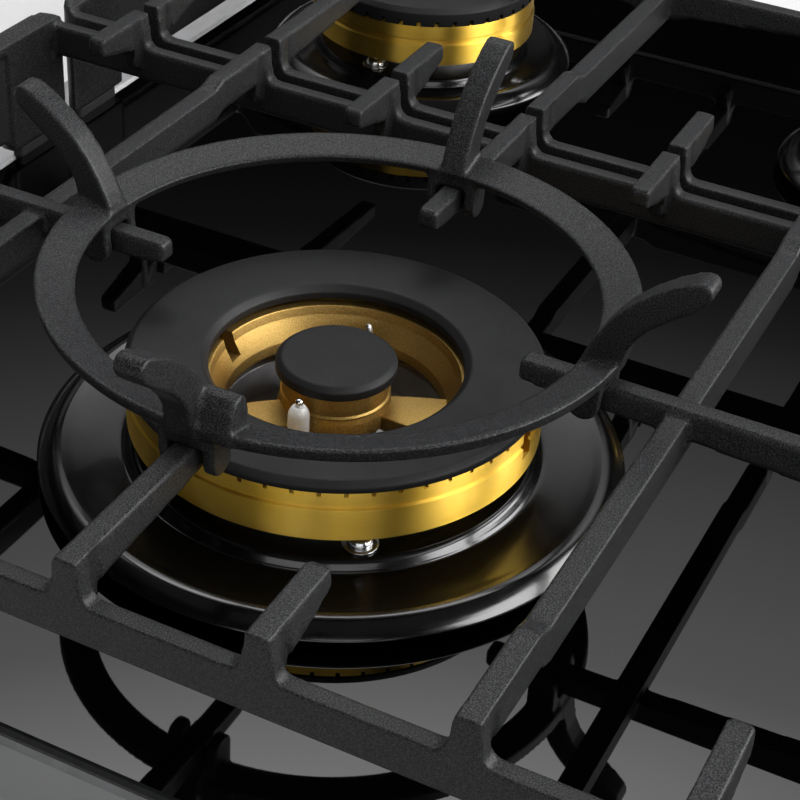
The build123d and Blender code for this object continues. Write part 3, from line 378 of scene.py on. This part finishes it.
castEnamel = makeCastEnamel()
capEnamel = makeCapEnamel()
panEnamel = makePanEnamel()
brassTurned = makeTurnedBrass()
brassBlastedShaded = makeBlastedShadedBrass()
brassFitting = makeMetal("brassFitting", (0.66, 0.48, 0.20), (0.76, 0.57, 0.26), 0.22)
blackGlass = makeGlass()
glassEdge = makeGlassEdge()
zincSteel = makeZinc()
castAluminium = makeMetal("castAluminium", (0.42, 0.42, 0.43), (0.54, 0.54, 0.55), 0.42,
                          scale=1200, depth=0.05)
brightSteel = makeMetal("brightSteel", (0.62, 0.62, 0.62), (0.74, 0.74, 0.74), 0.12, depth=0.004, edge=0.25)
groundSteel = makeMetal("groundSteel", (0.50, 0.50, 0.51), (0.60, 0.60, 0.61), 0.25)
copperSheath = makeMetal("copperSheath", (0.62, 0.32, 0.18), (0.75, 0.42, 0.26), 0.28)
whiteCeramic = makeMatte("whiteCeramic", (0.70, 0.69, 0.66), (0.80, 0.79, 0.77), 0.20, scale=400, depth=0.01)
foamSeal = makeMatte("foamSeal", (0.05, 0.05, 0.05), (0.10, 0.10, 0.10), 0.80, scale=900, depth=0.15)
blackRubber = makeMatte("blackRubber", (0.018, 0.018, 0.018), (0.030, 0.030, 0.030), 0.55)
knobPlastic = makeMatte("knobPlastic", (0.016, 0.016, 0.017), (0.024, 0.024, 0.025), 0.34,
                        scale=1800, depth=0.008)
trimSteel = makeMetal("trimSteel", (0.46, 0.46, 0.47), (0.56, 0.56, 0.57), 0.40,
                      scale=700, depth=0.004, edge=0.35)
bezelMetal = makeMetal("bezelMetal", (0.40, 0.40, 0.41), (0.50, 0.50, 0.51), 0.30)
greyPlastic = makeMatte("greyPlastic", (0.12, 0.12, 0.13), (0.18, 0.18, 0.19), 0.50)
leadSilicone = makeMatte("leadSilicone", (0.60, 0.58, 0.54), (0.70, 0.68, 0.64), 0.55)
print("finishes made")

slotFinish = {"black_glass": blackGlass, "grate_enamel": castEnamel, "pan_enamel": panEnamel,
              "cap_enamel": capEnamel, "brass": brassTurned, "cast_aluminium": castAluminium,
              "plated_steel": zincSteel, "bright_steel": brightSteel, "turned_brass_fitting": brassFitting,
              "spindle_steel": groundSteel, "white_ceramic": whiteCeramic, "foam_seal": foamSeal,
              "black_rubber": blackRubber, "knob_plastic": knobPlastic, "bezel_metal": bezelMetal,
              "grey_plastic": greyPlastic, "lead_silicone": leadSilicone, "copper_sheath": copperSheath,
              "trim_steel": trimSteel}
for row in frame["record"]["subparts"]:
    solid = nodes[row["node"]]
    solid.data.materials.clear()
    solid.data.materials.append(slotFinish[row["material_slot"]])
print("frame painted")


# glass panel: ground edge, holes for the burners and the knobs
glass = {"corner": 8.0, "rearCorner": 0.8, "bevel": 0.7, "thick": 4.0, "cornerSteps": 12,
         "wokHole": 70.0, "rearHole": 57.4, "frontHole": 35.4, "knobHole": 6.5}


def makeGlassPanel():
    low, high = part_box("glass_top")
    halfX, halfY = (high.x - low.x) / 2 / mm, (high.y - low.y) / 2 / mm
    cx, cy = (high.x + low.x) / 2, (high.y + low.y) / 2
    bm = bmesh.new()
    rows = []
    bevel = glass["bevel"]
    for inset, z in ((bevel, -glass["thick"]), (0, bevel - glass["thick"]), (0, -bevel), (bevel, 0)):
        row = []
        for qx, qy, start in ((1, 1, 0), (-1, 1, 90), (-1, -1, 180), (1, -1, 270)):
            corner = glass["corner" if qy < 0 else "rearCorner"]
            r = corner - inset
            for s in range(glass["cornerSteps"] + 1):
                a = math.radians(start + 90 * s / glass["cornerSteps"])
                x = qx * (halfX - corner) + r * math.cos(a)
                y = qy * (halfY - corner) + r * math.sin(a)
                row.append(bm.verts.new((cx + x * mm, cy + y * mm, glassTop + z * mm)))
        rows.append(row)
    count = len(rows[0])
    for lower, upper in zip(rows, rows[1:]):
        for s in range(count):
            t = (s + 1) % count
            face = bm.faces.new((lower[s], lower[t], upper[t], upper[s]))
            face.material_index = 1  # the ground edge
    bm.faces.new(rows[0][::-1])
    bm.faces.new(rows[-1])
    piece = pieceFrom(bm, "glassPanel", bodyOf["glass_top"], blackGlass, "glass_top", sharp=20)
    piece.data.materials.append(glassEdge)
    cutters = bmesh.new()
    holes = [(wokAt, glass["wokHole"]), (rearAt, glass["rearHole"]), (frontAt, glass["frontHole"])]
    holes += [(middleOf("knob_" + side), glass["knobHole"]) for side in ("left", "middle", "right")]
    for at, radius in holes:
        place = Matrix.Translation((at[0], at[1], glassTop - glass["thick"] / 2 * mm))
        bmesh.ops.create_cone(cutters, cap_ends=True, segments=128, radius1=radius * mm, radius2=radius * mm,
                              depth=5 * glass["thick"] * mm, matrix=place)
    cutAway(piece, cutters)


makeGlassPanel()
print("glass made")


# castings: the solid's own shape with a softened skin, as a sand casting under enamel has
# each one: its name, how fine its skin is in millimetres, how many times the skin is smoothed
castings = {"grate_left": ("grateLeft", 0.9, 4), "grate_right": ("grateRight", 0.9, 4),
            "wok_ring": ("wokRing", 0.7, 4)}


def makeCasting(node, name, voxel, passes):
    mesh = nodes[node].data.copy()
    mesh.materials.clear()
    mesh.materials.append(castEnamel)
    piece = bpy.data.objects.new(name, mesh)
    bpy.context.collection.objects.link(piece)
    skin = piece.modifiers.new("skin", "REMESH")
    skin.mode = "VOXEL"
    skin.voxel_size = voxel * mm * 1
    soft = piece.modifiers.new("soft", "SMOOTH")
    soft.factor = 0.5
    soft.iterations = passes
    settle(piece, sharp=180)
    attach(piece, bodyOf[node])
    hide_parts(node)


for node, (name, voxel, passes) in castings.items():
    makeCasting(node, name, voxel, passes)
print("castings made")


# black caps: outlines of (radius, height over the glass), and the corners that are rounded
ringCap = {"outline": [(40.2, 35.0), (57.0, 35.0), (58.0, 36.0), (66.4, 36.0), (66.4, 38.2), (64.4, 39.7),
                       (42.4, 39.7), (40.2, 37.6)], "radii": {0: 0.4, 3: 0.5, 4: 1.4, 5: 1.8, 6: 1.8, 7: 1.0}}
middleCap = {"outline": [(0, 34.2), (10.2, 34.2), (10.6, 31.5), (11.8, 31.5), (11.8, 35.0), (19.3, 35.0),
                         (19.3, 37.9), (17.4, 39.5), (0, 39.7)], "radii": {5: 0.4, 6: 0.9, 7: 2.0}}
# the caps of the two single rings: their walls are measured inwards from the rim
plainCap = {"under": 39.0, "top": 44.6, "radii": {5: 0.4, 6: 0.8, 7: 2.0},
            "wall": [(8.5, 39.0), (8.5, 34.4), (4.8, 34.4), (4.8, 36), (0, 36), (0, 41.8), (2.4, 43.8)],
            "rearPorts": 40, "frontPorts": 24, "portInset": 3.0,
            "port": {"length": 14.0, "width": 1.9, "low": 33.0, "high": 38.4}}


def makeCaps():
    bm = bmesh.new()
    lathe(bm, rounded(ringCap["outline"], ringCap["radii"]), wokAt, 256)
    pieceFrom(bm, "ringCap", bodyOf["wok_ring_cap"], capEnamel, "wok_ring_cap", sharp=50)
    bm = bmesh.new()
    lathe(bm, rounded(middleCap["outline"], middleCap["radii"], False), wokAt, 160, False)
    pieceFrom(bm, "middleCap", bodyOf["wok_center_cap"], capEnamel, "wok_center_cap", sharp=50)
    for burner, at in (("rear", rearAt), ("front", frontAt)):
        node = burner + "_cap"
        low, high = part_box(node)
        r = (high.x - low.x) / 2 / mm
        wall = [(r - inset, z) for inset, z in plainCap["wall"]]
        outline = [(0, plainCap["under"])] + wall + [(0, plainCap["top"])]
        bm = bmesh.new()
        lathe(bm, rounded(outline, plainCap["radii"], False), at, 240, False)
        piece = pieceFrom(bm, burner + "Cap", bodyOf[node], capEnamel, node, sharp=40)
        cutters = bmesh.new()
        ports = plainCap[burner + "Ports"]
        for step in range(ports):
            radialBox(cutters, at, (step + 0.5) * 360 / ports, r - plainCap["portInset"], **plainCap["port"])
        cutAway(piece, cutters)


makeCaps()
print("caps made")


# brass head of the wok burner: turned rim with its skirt, blasted bowl, hub and spokes; the blasted brass is
# darkened as painted shade of the hollow
wokHead = {"rim": [(38, 18.5), (39.3, 18.5), (39.3, 9), (40.8, 9), (40.8, 18.5), (66, 18.5), (66, 29.4),
                   (65.1, 29.9), (65.1, 30.9), (65.7, 31.4), (65.7, 36), (61, 36), (61, 23.5), (59.5, 22),
                   (45, 22), (43, 23.5), (43, 33), (39.6, 33), (38.8, 30), (35.2, 23.4), (34.4, 20.2),
                   (36.2, 18.5)],
           "rimRadii": {5: 0.5, 6: 0.3, 9: 0.2, 10: 0.3, 11: 0.3, 16: 0.4, 17: 0.5, 18: 2.0, 19: 1.2,
                        20: 0.8},
           "bowlReach": 44.5, "channels": (-90.0, 90.0),
           "channel": {"middle": 52.0, "length": 36.0, "width": 5.4, "low": 25.5, "high": 37.5},
           "notches": 52, "phase": 0.43,
           "notch": {"middle": 64.0, "length": 8.0, "width": 1.3, "low": 34.4, "high": 37.0},
           "hub": [(12, 16), (15.2, 16), (18.8, 20.5), (17.6, 24.6), (17.0, 26.2), (17.8, 26.9), (17.0, 27.7),
                   (17.0, 35), (12, 35)],
           "hubRadii": {2: 1.0, 3: 1.0, 5: 0.4, 7: 0.3}, "hubNotches": 14,
           "hubNotch": {"middle": 15.0, "length": 8.0, "width": 1.4, "low": 33.5, "high": 37.0},
           "throat": [(8.6, 2.5), (10.54, 2.5), (10.54, 17.5), (12.5, 19.0), (12.5, 21.0), (8.6, 18.0)],
           "spokes": (-78.0, 35.0, 146.0), "spokeLow": 18.5, "spokeHigh": 23.9, "spokeEdge": 0.7,
           "spokeHalves": ((15.8, 5.8), (22.0, 7.6), (29.0, 9.2), (37.0, 10.6))}  # half width at each radius


def makeWokRim():
    at = wokAt
    bm = bmesh.new()
    lathe(bm, rounded(wokHead["rim"], wokHead["rimRadii"]), at, 312)
    piece = pieceFrom(bm, "brassRim", bodyOf["wok_head"], brassTurned, "wok_head", sharp=30)
    cutters = bmesh.new()
    for angle in wokHead["channels"]:
        radialBox(cutters, at, angle, **wokHead["channel"])
    cutAway(piece, cutters)
    cutters = bmesh.new()
    pitch = 360 / wokHead["notches"]
    for step in range(wokHead["notches"]):
        angle = (step + wokHead["phase"]) * pitch
        if abs(math.cos(math.radians(angle))) > 0.1:  # none where the channels run out
            radialBox(cutters, at, angle, **wokHead["notch"])
    cutAway(piece, cutters)
    # faces inside the bowl take the darkened blasted brass, the painted shade of the hollow
    piece.data.materials.append(brassBlastedShaded)
    for face in piece.data.polygons:
        c = face.center
        if math.hypot(c.x - at.x, c.y - at.y) < wokHead["bowlReach"] * mm:
            face.material_index = 1


def makeWokHub():
    bm = bmesh.new()
    lathe(bm, rounded(wokHead["hub"], wokHead["hubRadii"]), wokAt, 160)
    lathe(bm, wokHead["throat"], wokAt, 96)
    # the hub wears the blasted brass with its painted shade
    piece = pieceFrom(bm, "brassHub", bodyOf["wok_head"], brassBlastedShaded, sharp=30)
    cutters = bmesh.new()
    for step in range(wokHead["hubNotches"]):
        radialBox(cutters, wokAt, step * 360 / wokHead["hubNotches"], **wokHead["hubNotch"])
    cutAway(piece, cutters)


def makeWokSpokes():
    low, high = wokHead["spokeLow"], wokHead["spokeHigh"]
    axis = Vector((wokAt.x, wokAt.y, glassTop))
    bm = bmesh.new()
    for angle in wokHead["spokes"]:
        turn = Matrix.Rotation(math.radians(angle), 4, "Z")
        rows = []
        for r, half in wokHead["spokeHalves"]:
            row = []
            for side, z in ((-1, low), (1, low), (1, high), (-1, high)):
                row.append(bm.verts.new(axis + turn @ Vector((r * mm, side * half * mm, z * mm))))
            rows.append(row)
        for a, b in zip(rows, rows[1:]):
            for s in range(4):
                t = (s + 1) % 4
                bm.faces.new((a[s], a[t], b[t], b[s]))
        bm.faces.new(rows[0][::-1])
        bm.faces.new(rows[-1])
    bmesh.ops.recalc_face_normals(bm, faces=bm.faces)
    edges = [e for e in bm.edges if e.is_manifold and e.calc_face_angle(0) > 0.8]
    bmesh.ops.bevel(bm, geom=edges, offset=wokHead["spokeEdge"] * mm, segments=3, profile=0.6, affect="EDGES")
    # the spokes wear the blasted brass with its painted shade
    pieceFrom(bm, "brassSpokes", bodyOf["wok_head"], brassBlastedShaded, sharp=30)


# brass heads of the single rings: walls measured outwards from the throat and inwards from the rim
plainHead = {"rearThroat": 8.44, "frontThroat": 5.44,
             "throatWall": [(0, 20.5), (0, 6), (2.1, 6), (2.1, 18.5)],
             "rimWall": [(0, 18.5), (0, 27.6), (1.1, 28.4), (1.1, 29.6), (0.6, 30.4), (0.6, 36), (5, 36),
                         (5, 23), (6.5, 21.5)],
             "floorStart": (2.4, 21.5), "radii": {4: 0.5, 5: 0.4, 8: 0.3, 9: 0.3, 10: 0.3}}


def makePlainHeads():
    for burner, at in (("rear", rearAt), ("front", frontAt)):
        node = burner + "_head"
        low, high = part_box(node)
        r = (high.x - low.x) / 2 / mm
        throat = plainHead[burner + "Throat"]
        outline = [(throat + out, z) for out, z in plainHead["throatWall"]]
        outline += [(r - inset, z) for inset, z in plainHead["rimWall"]]
        outline.append((throat + plainHead["floorStart"][0], plainHead["floorStart"][1]))
        bm = bmesh.new()
        lathe(bm, rounded(outline, plainHead["radii"]), at, 240)
        pieceFrom(bm, burner + "Brass", bodyOf[node], brassTurned, node, sharp=30)


makeWokRim()
makeWokHub()
makeWokSpokes()
makePlainHeads()
print("brass made")


# enamelled pans: pressed sheet with a flat for the screws, a dip, a soft ridge and a rolled rim
# the dip runs in shares of the way from the flat to the ridge, the lip and the edge out from the rim
pans = {"sheet": 0.9, "floor": 10.5, "cupGap": 0.7, "flat": 6.2, "flatFade": 1.5, "flatDrop": 0.1,
        "ridgeIn": 7.4,
        "dip": ((0.05, 9.7), (0.09, 8.6), (0.125, 7.6), (0.17, 7.0), (0.34, 7.15), (0.6, 7.7), (0.82, 8.4),
                (0.94, 8.95), (1, 9.15)),
        "lip": ((-5.2, 8.9), (-2.8, 7.6), (-1.3, 6.4), (-0.5, 5.6)),
        "edge": ((-0.06, 5.05), (0, 4.7), (-0.2, 4.3), (-0.7, 4.1))}
# each burner: middle, outer wall of its cup, circle and angles of its screws, reach of its pan
burners = {"wok": (wokAt, 51.5, 58.0, (-144, -24, 96), 94.6),
           "rear": (rearAt, 33.0, 40.0, (175, 295, 55), 68.5),
           "front": (frontAt, 15.0, 21.6, (150, 270, 30), 49.0)}


def panLine(wall, screws, rim):
    start, ridge, top = screws + pans["flat"], rim - pans["ridgeIn"], pans["floor"]
    points = [(wall + pans["cupGap"], top), (start - pans["flatFade"], top), (start, top - pans["flatDrop"])]
    points += [(start + share * (ridge - start), z) for share, z in pans["dip"]]
    points += [(rim + r, z) for r, z in pans["lip"]]
    return smoothCurve(points, 6)


def makePans():
    for name, (at, wall, screws, angles, reach) in burners.items():
        node = name + "_pan"
        line = panLine(wall, screws, reach)
        under = []
        for i, here in enumerate(line):
            way = (line[min(i + 1, len(line) - 1)] - line[max(i - 1, 0)]).normalized()
            under.append(here + Vector((way.y, -way.x)) * pans["sheet"])
        bead = smoothCurve([line[-1]] + [(reach + r, z) for r, z in pans["edge"]], 4)[1:]
        bm = bmesh.new()
        lathe(bm, [tuple(p) for p in line + bead + under[::-1]], at, 256)
        pieceFrom(bm, name + "Pan", bodyOf[node], panEnamel, node, sharp=60)


makePans()
print("pans made")


# screws that hold the pans: washer, domed head with a hex socket, shank
screw = {"washer": [(0, 0), (5.2, 0), (5.6, 0.25), (5.6, 0.65), (5.2, 0.9), (0, 0.9)],
         "head": [(0, 0.9), (4.0, 0.9), (4.2, 1.2), (4.1, 2.0), (3.5, 3.1), (2.5, 3.7), (0, 3.9)],
         "shank": [(0, -14.5), (1.95, -14.0), (1.95, 0.1), (0, 0.1)],
         "socket": 2.0, "socketFloor": 2.2, "socketTop": 5.0}


def makeScrews():
    bm, sockets = bmesh.new(), bmesh.new()
    for at, wall, circle, angles, reach in burners.values():
        for angle in angles:
            a = math.radians(angle)
            spot = (at.x + circle * mm * math.cos(a), at.y + circle * mm * math.sin(a))
            for part in ("washer", "head", "shank"):
                lathe(bm, [(r, z + pans["floor"]) for r, z in screw[part]], spot, 64, False)
            low, high = pans["floor"] + screw["socketFloor"], pans["floor"] + screw["socketTop"]
            place = Matrix.Translation((*spot, glassTop + (low + high) / 2 * mm)) @ Matrix.Rotation(a, 4, "Z")
            bmesh.ops.create_cone(sockets, cap_ends=True, segments=6, radius1=screw["socket"] * mm,
                                  radius2=screw["socket"] * mm, depth=(high - low) * mm, matrix=place)
    node = "pan_screws"
    cutAway(pieceFrom(bm, "panScrews", bodyOf[node], brightSteel, node, sharp=40), sockets)


makeScrews()
print("screws made")


# igniters: glazed ceramic, metal tip; flame sensors: thin steel rods
ceramic = {"wok": [(0, -14), (2.4, -14), (2.4, -6), (3.4, -5), (3.4, 30.6), (3.2, 31.8), (2.4, 33.4),
                   (1.9, 33.9), (0, 33.9)],
           "single": [(0, -16), (1.9, -16), (2.5, -14), (2.5, 26.6), (2.3, 27.8), (1.5, 28.9), (0, 29.0)]}
tip = {"wok": [(0, 33.9), (0.8, 33.9), (0.8, 34.3), (1.25, 34.7), (1.35, 35.3), (1.2, 35.9), (0.7, 36.4),
               (0, 36.5)],
       "single": [(0, 29.0), (0.7, 29.0), (0.7, 32.6), (1.1, 33.2), (1.1, 33.8), (0.6, 34.4), (0, 34.6)]}
sensor = {"wok": [(0, -14), (1.6, -14), (1.6, 34.0), (1.1, 36.2), (0.5, 37.0), (0, 37.0)],
          "single": [(0, -16), (1.6, -16), (1.6, 32.0), (1.1, 34.2), (0.5, 35.0), (0, 35.0)]}
# how far from the burner's axis and at what angle each one stands
igniterSpots = {"wok": (wokAt, 23.4, 179), "rear": (rearAt, 53.0, 30), "front": (frontAt, 31.0, 80)}
sensorSpots = {"wok": (wokAt, 24.5, 3), "rear": (rearAt, 53.0, 90), "front": (frontAt, 31.0, 115)}


def spotOf(place):
    at, radius, angle = place
    a = math.radians(angle)
    return at.x + radius * mm * math.cos(a), at.y + radius * mm * math.sin(a)


def makeRods(name, node, finish, outlines, spots):
    bm = bmesh.new()
    for burner, place in spots.items():
        lathe(bm, outlines["wok" if burner == "wok" else "single"], spotOf(place), 48, False)
    pieceFrom(bm, name, bodyOf[node], finish, node, sharp=45)


makeRods("igniterCeramics", "igniter_ceramics", whiteCeramic, ceramic, igniterSpots)
makeRods("igniterTips", "igniter_tips", brightSteel, tip, igniterSpots)
makeRods("flameSensors", "flame_sensors", groundSteel, sensor, sensorSpots)
print("igniters made")


# floor, light and camera
studio = {"floorColour": 0.92, "floorBounce": 0.35, "floorSize": 14.0, "ambient": 0.20, "skyTop": 8.0,
          "skyLow": 0.10, "boxAt": 32, "boxFade": (0.35, 0.65), "domeRadius": 5.0}
# how bright the dome is at each sine of the height angle, as a share of its top
skyRamp = ((0.0, 0.0), (0.40, 0.0005), (0.46, 0.002), (0.50, 0.006), (0.53, 0.016), (0.56, 0.036),
           (0.60, 0.072), (0.645, 0.12), (0.70, 0.185), (0.76, 0.42), (0.82, 1.0))
# each card as seen from the wok burner: azimuth, height angle, distance, size, brightness
cards = {"behindCamera": (203, 22, 2.4, (2.3, 1.5), 1.9), "frontBox": (290, 26, 2.0, (2.1, 1.5), 8.0)}
# each lamp: where it hangs, what it points at, its size, its watts, whether shiny things mirror it
lamps = {"overhead": ((0.1, 0.3, 1.8), (0, 0, 0), (1.6, 1.6), 24, False),
         "fromFront": ((0.35, -1.40, 0.8), (-0.14, 0.05, 0.08), (1.9, 1.1), 20, True)}
view = {"at": (-0.57036, -0.16243, 0.40998), "azimuth": 0.4345, "elevation": 0.6430, "roll": 0.0626,
        "focal": 1834.0, "centre": (380.0, 460.0), "picture": 800.0, "sensor": 36.0}


# a level that depends on the ray: what eyes, mirrors and glass see, and what lights other things
def seenLevel(tree, lighting, seen):
    path = tree.nodes.new("ShaderNodeLightPath")
    level = tree.nodes.new("ShaderNodeMapRange")
    level.inputs["To Min"].default_value = lighting
    level.inputs["To Max"].default_value = seen
    last = path.outputs["Is Camera Ray"]
    for kind in ("Is Glossy Ray", "Is Transmission Ray"):
        either = tree.nodes.new("ShaderNodeMath")
        either.operation = "MAXIMUM"
        tree.links.new(last, either.inputs[0])
        tree.links.new(path.outputs[kind], either.inputs[1])
        last = either.outputs[0]
    tree.links.new(last, level.inputs["Value"])
    return level.outputs["Result"]


def makeFloor():
    bm = bmesh.new()
    bmesh.ops.create_grid(bm, x_segments=8, y_segments=8, size=studio["floorSize"] / 2)
    floor = objectFrom(bm, "floor")
    f = Finish("floorPaper").plain(Specular_IOR_Level=0.1, Roughness=0.9)
    f.link(seenLevel(f.tree, studio["floorBounce"], studio["floorColour"]), f.shader.inputs["Base Color"])
    floor.data.materials.append(f.material)


def makeGlow(name):
    material = bpy.data.materials.new(name)
    material.use_nodes = True
    tree = material.node_tree
    tree.nodes.clear()
    glow = tree.nodes.new("ShaderNodeEmission")
    out = tree.nodes.new("ShaderNodeOutputMaterial")
    tree.links.new(glow.outputs["Emission"], out.inputs["Surface"])
    return material, tree, glow


def mirrorOnly(thing, material):  # only reflections see it
    thing.data.materials.append(material)
    thing.visible_camera = False
    thing.visible_diffuse = False
    thing.visible_shadow = False
    thing.visible_transmission = False


# a dome that only reflections see: dark low down, bright overhead, as black card and a soft box give
def makeDome():
    bm = bmesh.new()
    bmesh.ops.create_uvsphere(bm, u_segments=64, v_segments=32, radius=studio["domeRadius"])
    bmesh.ops.delete(bm, geom=[v for v in bm.verts if v.co.z < -0.01], context="VERTS")
    dome = objectFrom(bm, "dome")
    for face in dome.data.polygons:
        face.use_smooth = True
    material, tree, glow = makeGlow("domeGlow")
    place = tree.nodes.new("ShaderNodeTexCoord")
    split = tree.nodes.new("ShaderNodeSeparateXYZ")
    share = tree.nodes.new("ShaderNodeMapRange")
    share.inputs["From Max"].default_value = studio["domeRadius"]
    fade = tree.nodes.new("ShaderNodeValToRGB")
    steps = fade.color_ramp.elements
    while len(steps) < len(skyRamp):
        steps.new(0.5)
    for step, (at, level) in zip(steps, skyRamp):
        step.position = at
        step.color = (level, level, level, 1)
    tree.links.new(place.outputs["Object"], split.inputs["Vector"])
    tree.links.new(split.outputs["Z"], share.inputs["Value"])
    tree.links.new(share.outputs["Result"], fade.inputs["Fac"])
    # the soft box stands on the side away from the camera and fades out round it and overhead
    side = tree.nodes.new("ShaderNodeVectorMath")
    side.operation = "DOT_PRODUCT"
    turn = math.radians(studio["boxAt"])
    side.inputs[1].default_value = Vector((math.cos(turn), math.sin(turn), 0)) / studio["domeRadius"]
    reach = tree.nodes.new("ShaderNodeMapRange")
    reach.interpolation_type = "SMOOTHSTEP"
    reach.inputs["From Min"].default_value, reach.inputs["From Max"].default_value = studio["boxFade"]
    reach.inputs["To Min"].default_value = studio["skyLow"]
    reach.inputs["To Max"].default_value = studio["skyTop"]
    tree.links.new(place.outputs["Object"], side.inputs[0])
    tree.links.new(side.outputs["Value"], reach.inputs["Value"])
    tree.links.new(reach.outputs["Result"], glow.inputs["Strength"])
    tree.links.new(fade.outputs["Color"], glow.inputs["Color"])
    mirrorOnly(dome, material)


# a card that only reflections see, turned to the burner
def makeCard(name, azimuth, height, distance, size, level):
    bm = bmesh.new()
    bmesh.ops.create_grid(bm, x_segments=2, y_segments=2, size=0.5)
    card = objectFrom(bm, name)
    a, e = math.radians(azimuth), math.radians(height)
    way = Vector((math.cos(a) * math.cos(e), math.sin(a) * math.cos(e), math.sin(e)))
    card.location = wokAt + way * distance
    card.rotation_euler = way.to_track_quat("Z", "Y").to_euler()
    card.scale = (*size, 1)
    material, tree, glow = makeGlow(name)
    glow.inputs["Strength"].default_value = level
    mirrorOnly(card, material)


def makeWorld():
    world = bpy.data.worlds.new("studio")
    bpy.context.scene.world = world
    world.use_nodes = True
    tree = world.node_tree
    back = tree.nodes["Background"]
    tree.links.new(seenLevel(tree, studio["ambient"], 1.0), back.inputs["Strength"])
    back.inputs["Color"].default_value = (1, 1, 1, 1)


def makeLamp(name, at, aim, size, power, mirrored):
    lamp = bpy.data.lights.new(name, "AREA")
    lamp.shape = "RECTANGLE"
    lamp.size, lamp.size_y = size
    lamp.energy = power
    holder = bpy.data.objects.new(name, lamp)
    bpy.context.collection.objects.link(holder)
    holder.location = at
    holder.rotation_euler = (Vector(aim) - Vector(at)).to_track_quat("-Z", "Y").to_euler()
    holder.visible_glossy = mirrored


def makeCamera():
    az, el, roll = view["azimuth"], view["elevation"], view["roll"]
    back = Vector((-math.cos(az) * math.cos(el), -math.sin(az) * math.cos(el), math.sin(el)))
    right = (-back).cross(Vector((0, 0, 1))).normalized()
    up = right.cross(-back)
    turnedRight = math.cos(roll) * right + math.sin(roll) * up
    turnedUp = -math.sin(roll) * right + math.cos(roll) * up
    lens = bpy.data.cameras.new("camera")
    lens.sensor_width = view["sensor"]
    lens.lens = view["focal"] / view["picture"] * view["sensor"]
    lens.shift_x = (view["picture"] / 2 - view["centre"][0]) / view["picture"]
    lens.shift_y = (view["centre"][1] - view["picture"] / 2) / view["picture"]
    lens.clip_start = 0.01
    camera = bpy.data.objects.new("camera", lens)
    bpy.context.collection.objects.link(camera)
    turn = Matrix((turnedRight, turnedUp, back)).transposed().to_4x4()
    camera.matrix_world = Matrix.Translation(view["at"]) @ turn
    bpy.context.scene.camera = camera


makeFloor()
makeDome()
makeWorld()
for name, card in cards.items():
    makeCard(name, *card)
for name, lamp in lamps.items():
    makeLamp(name, *lamp)
makeCamera()
bpy.context.scene.view_settings.view_transform = "Standard"
print("studio set")
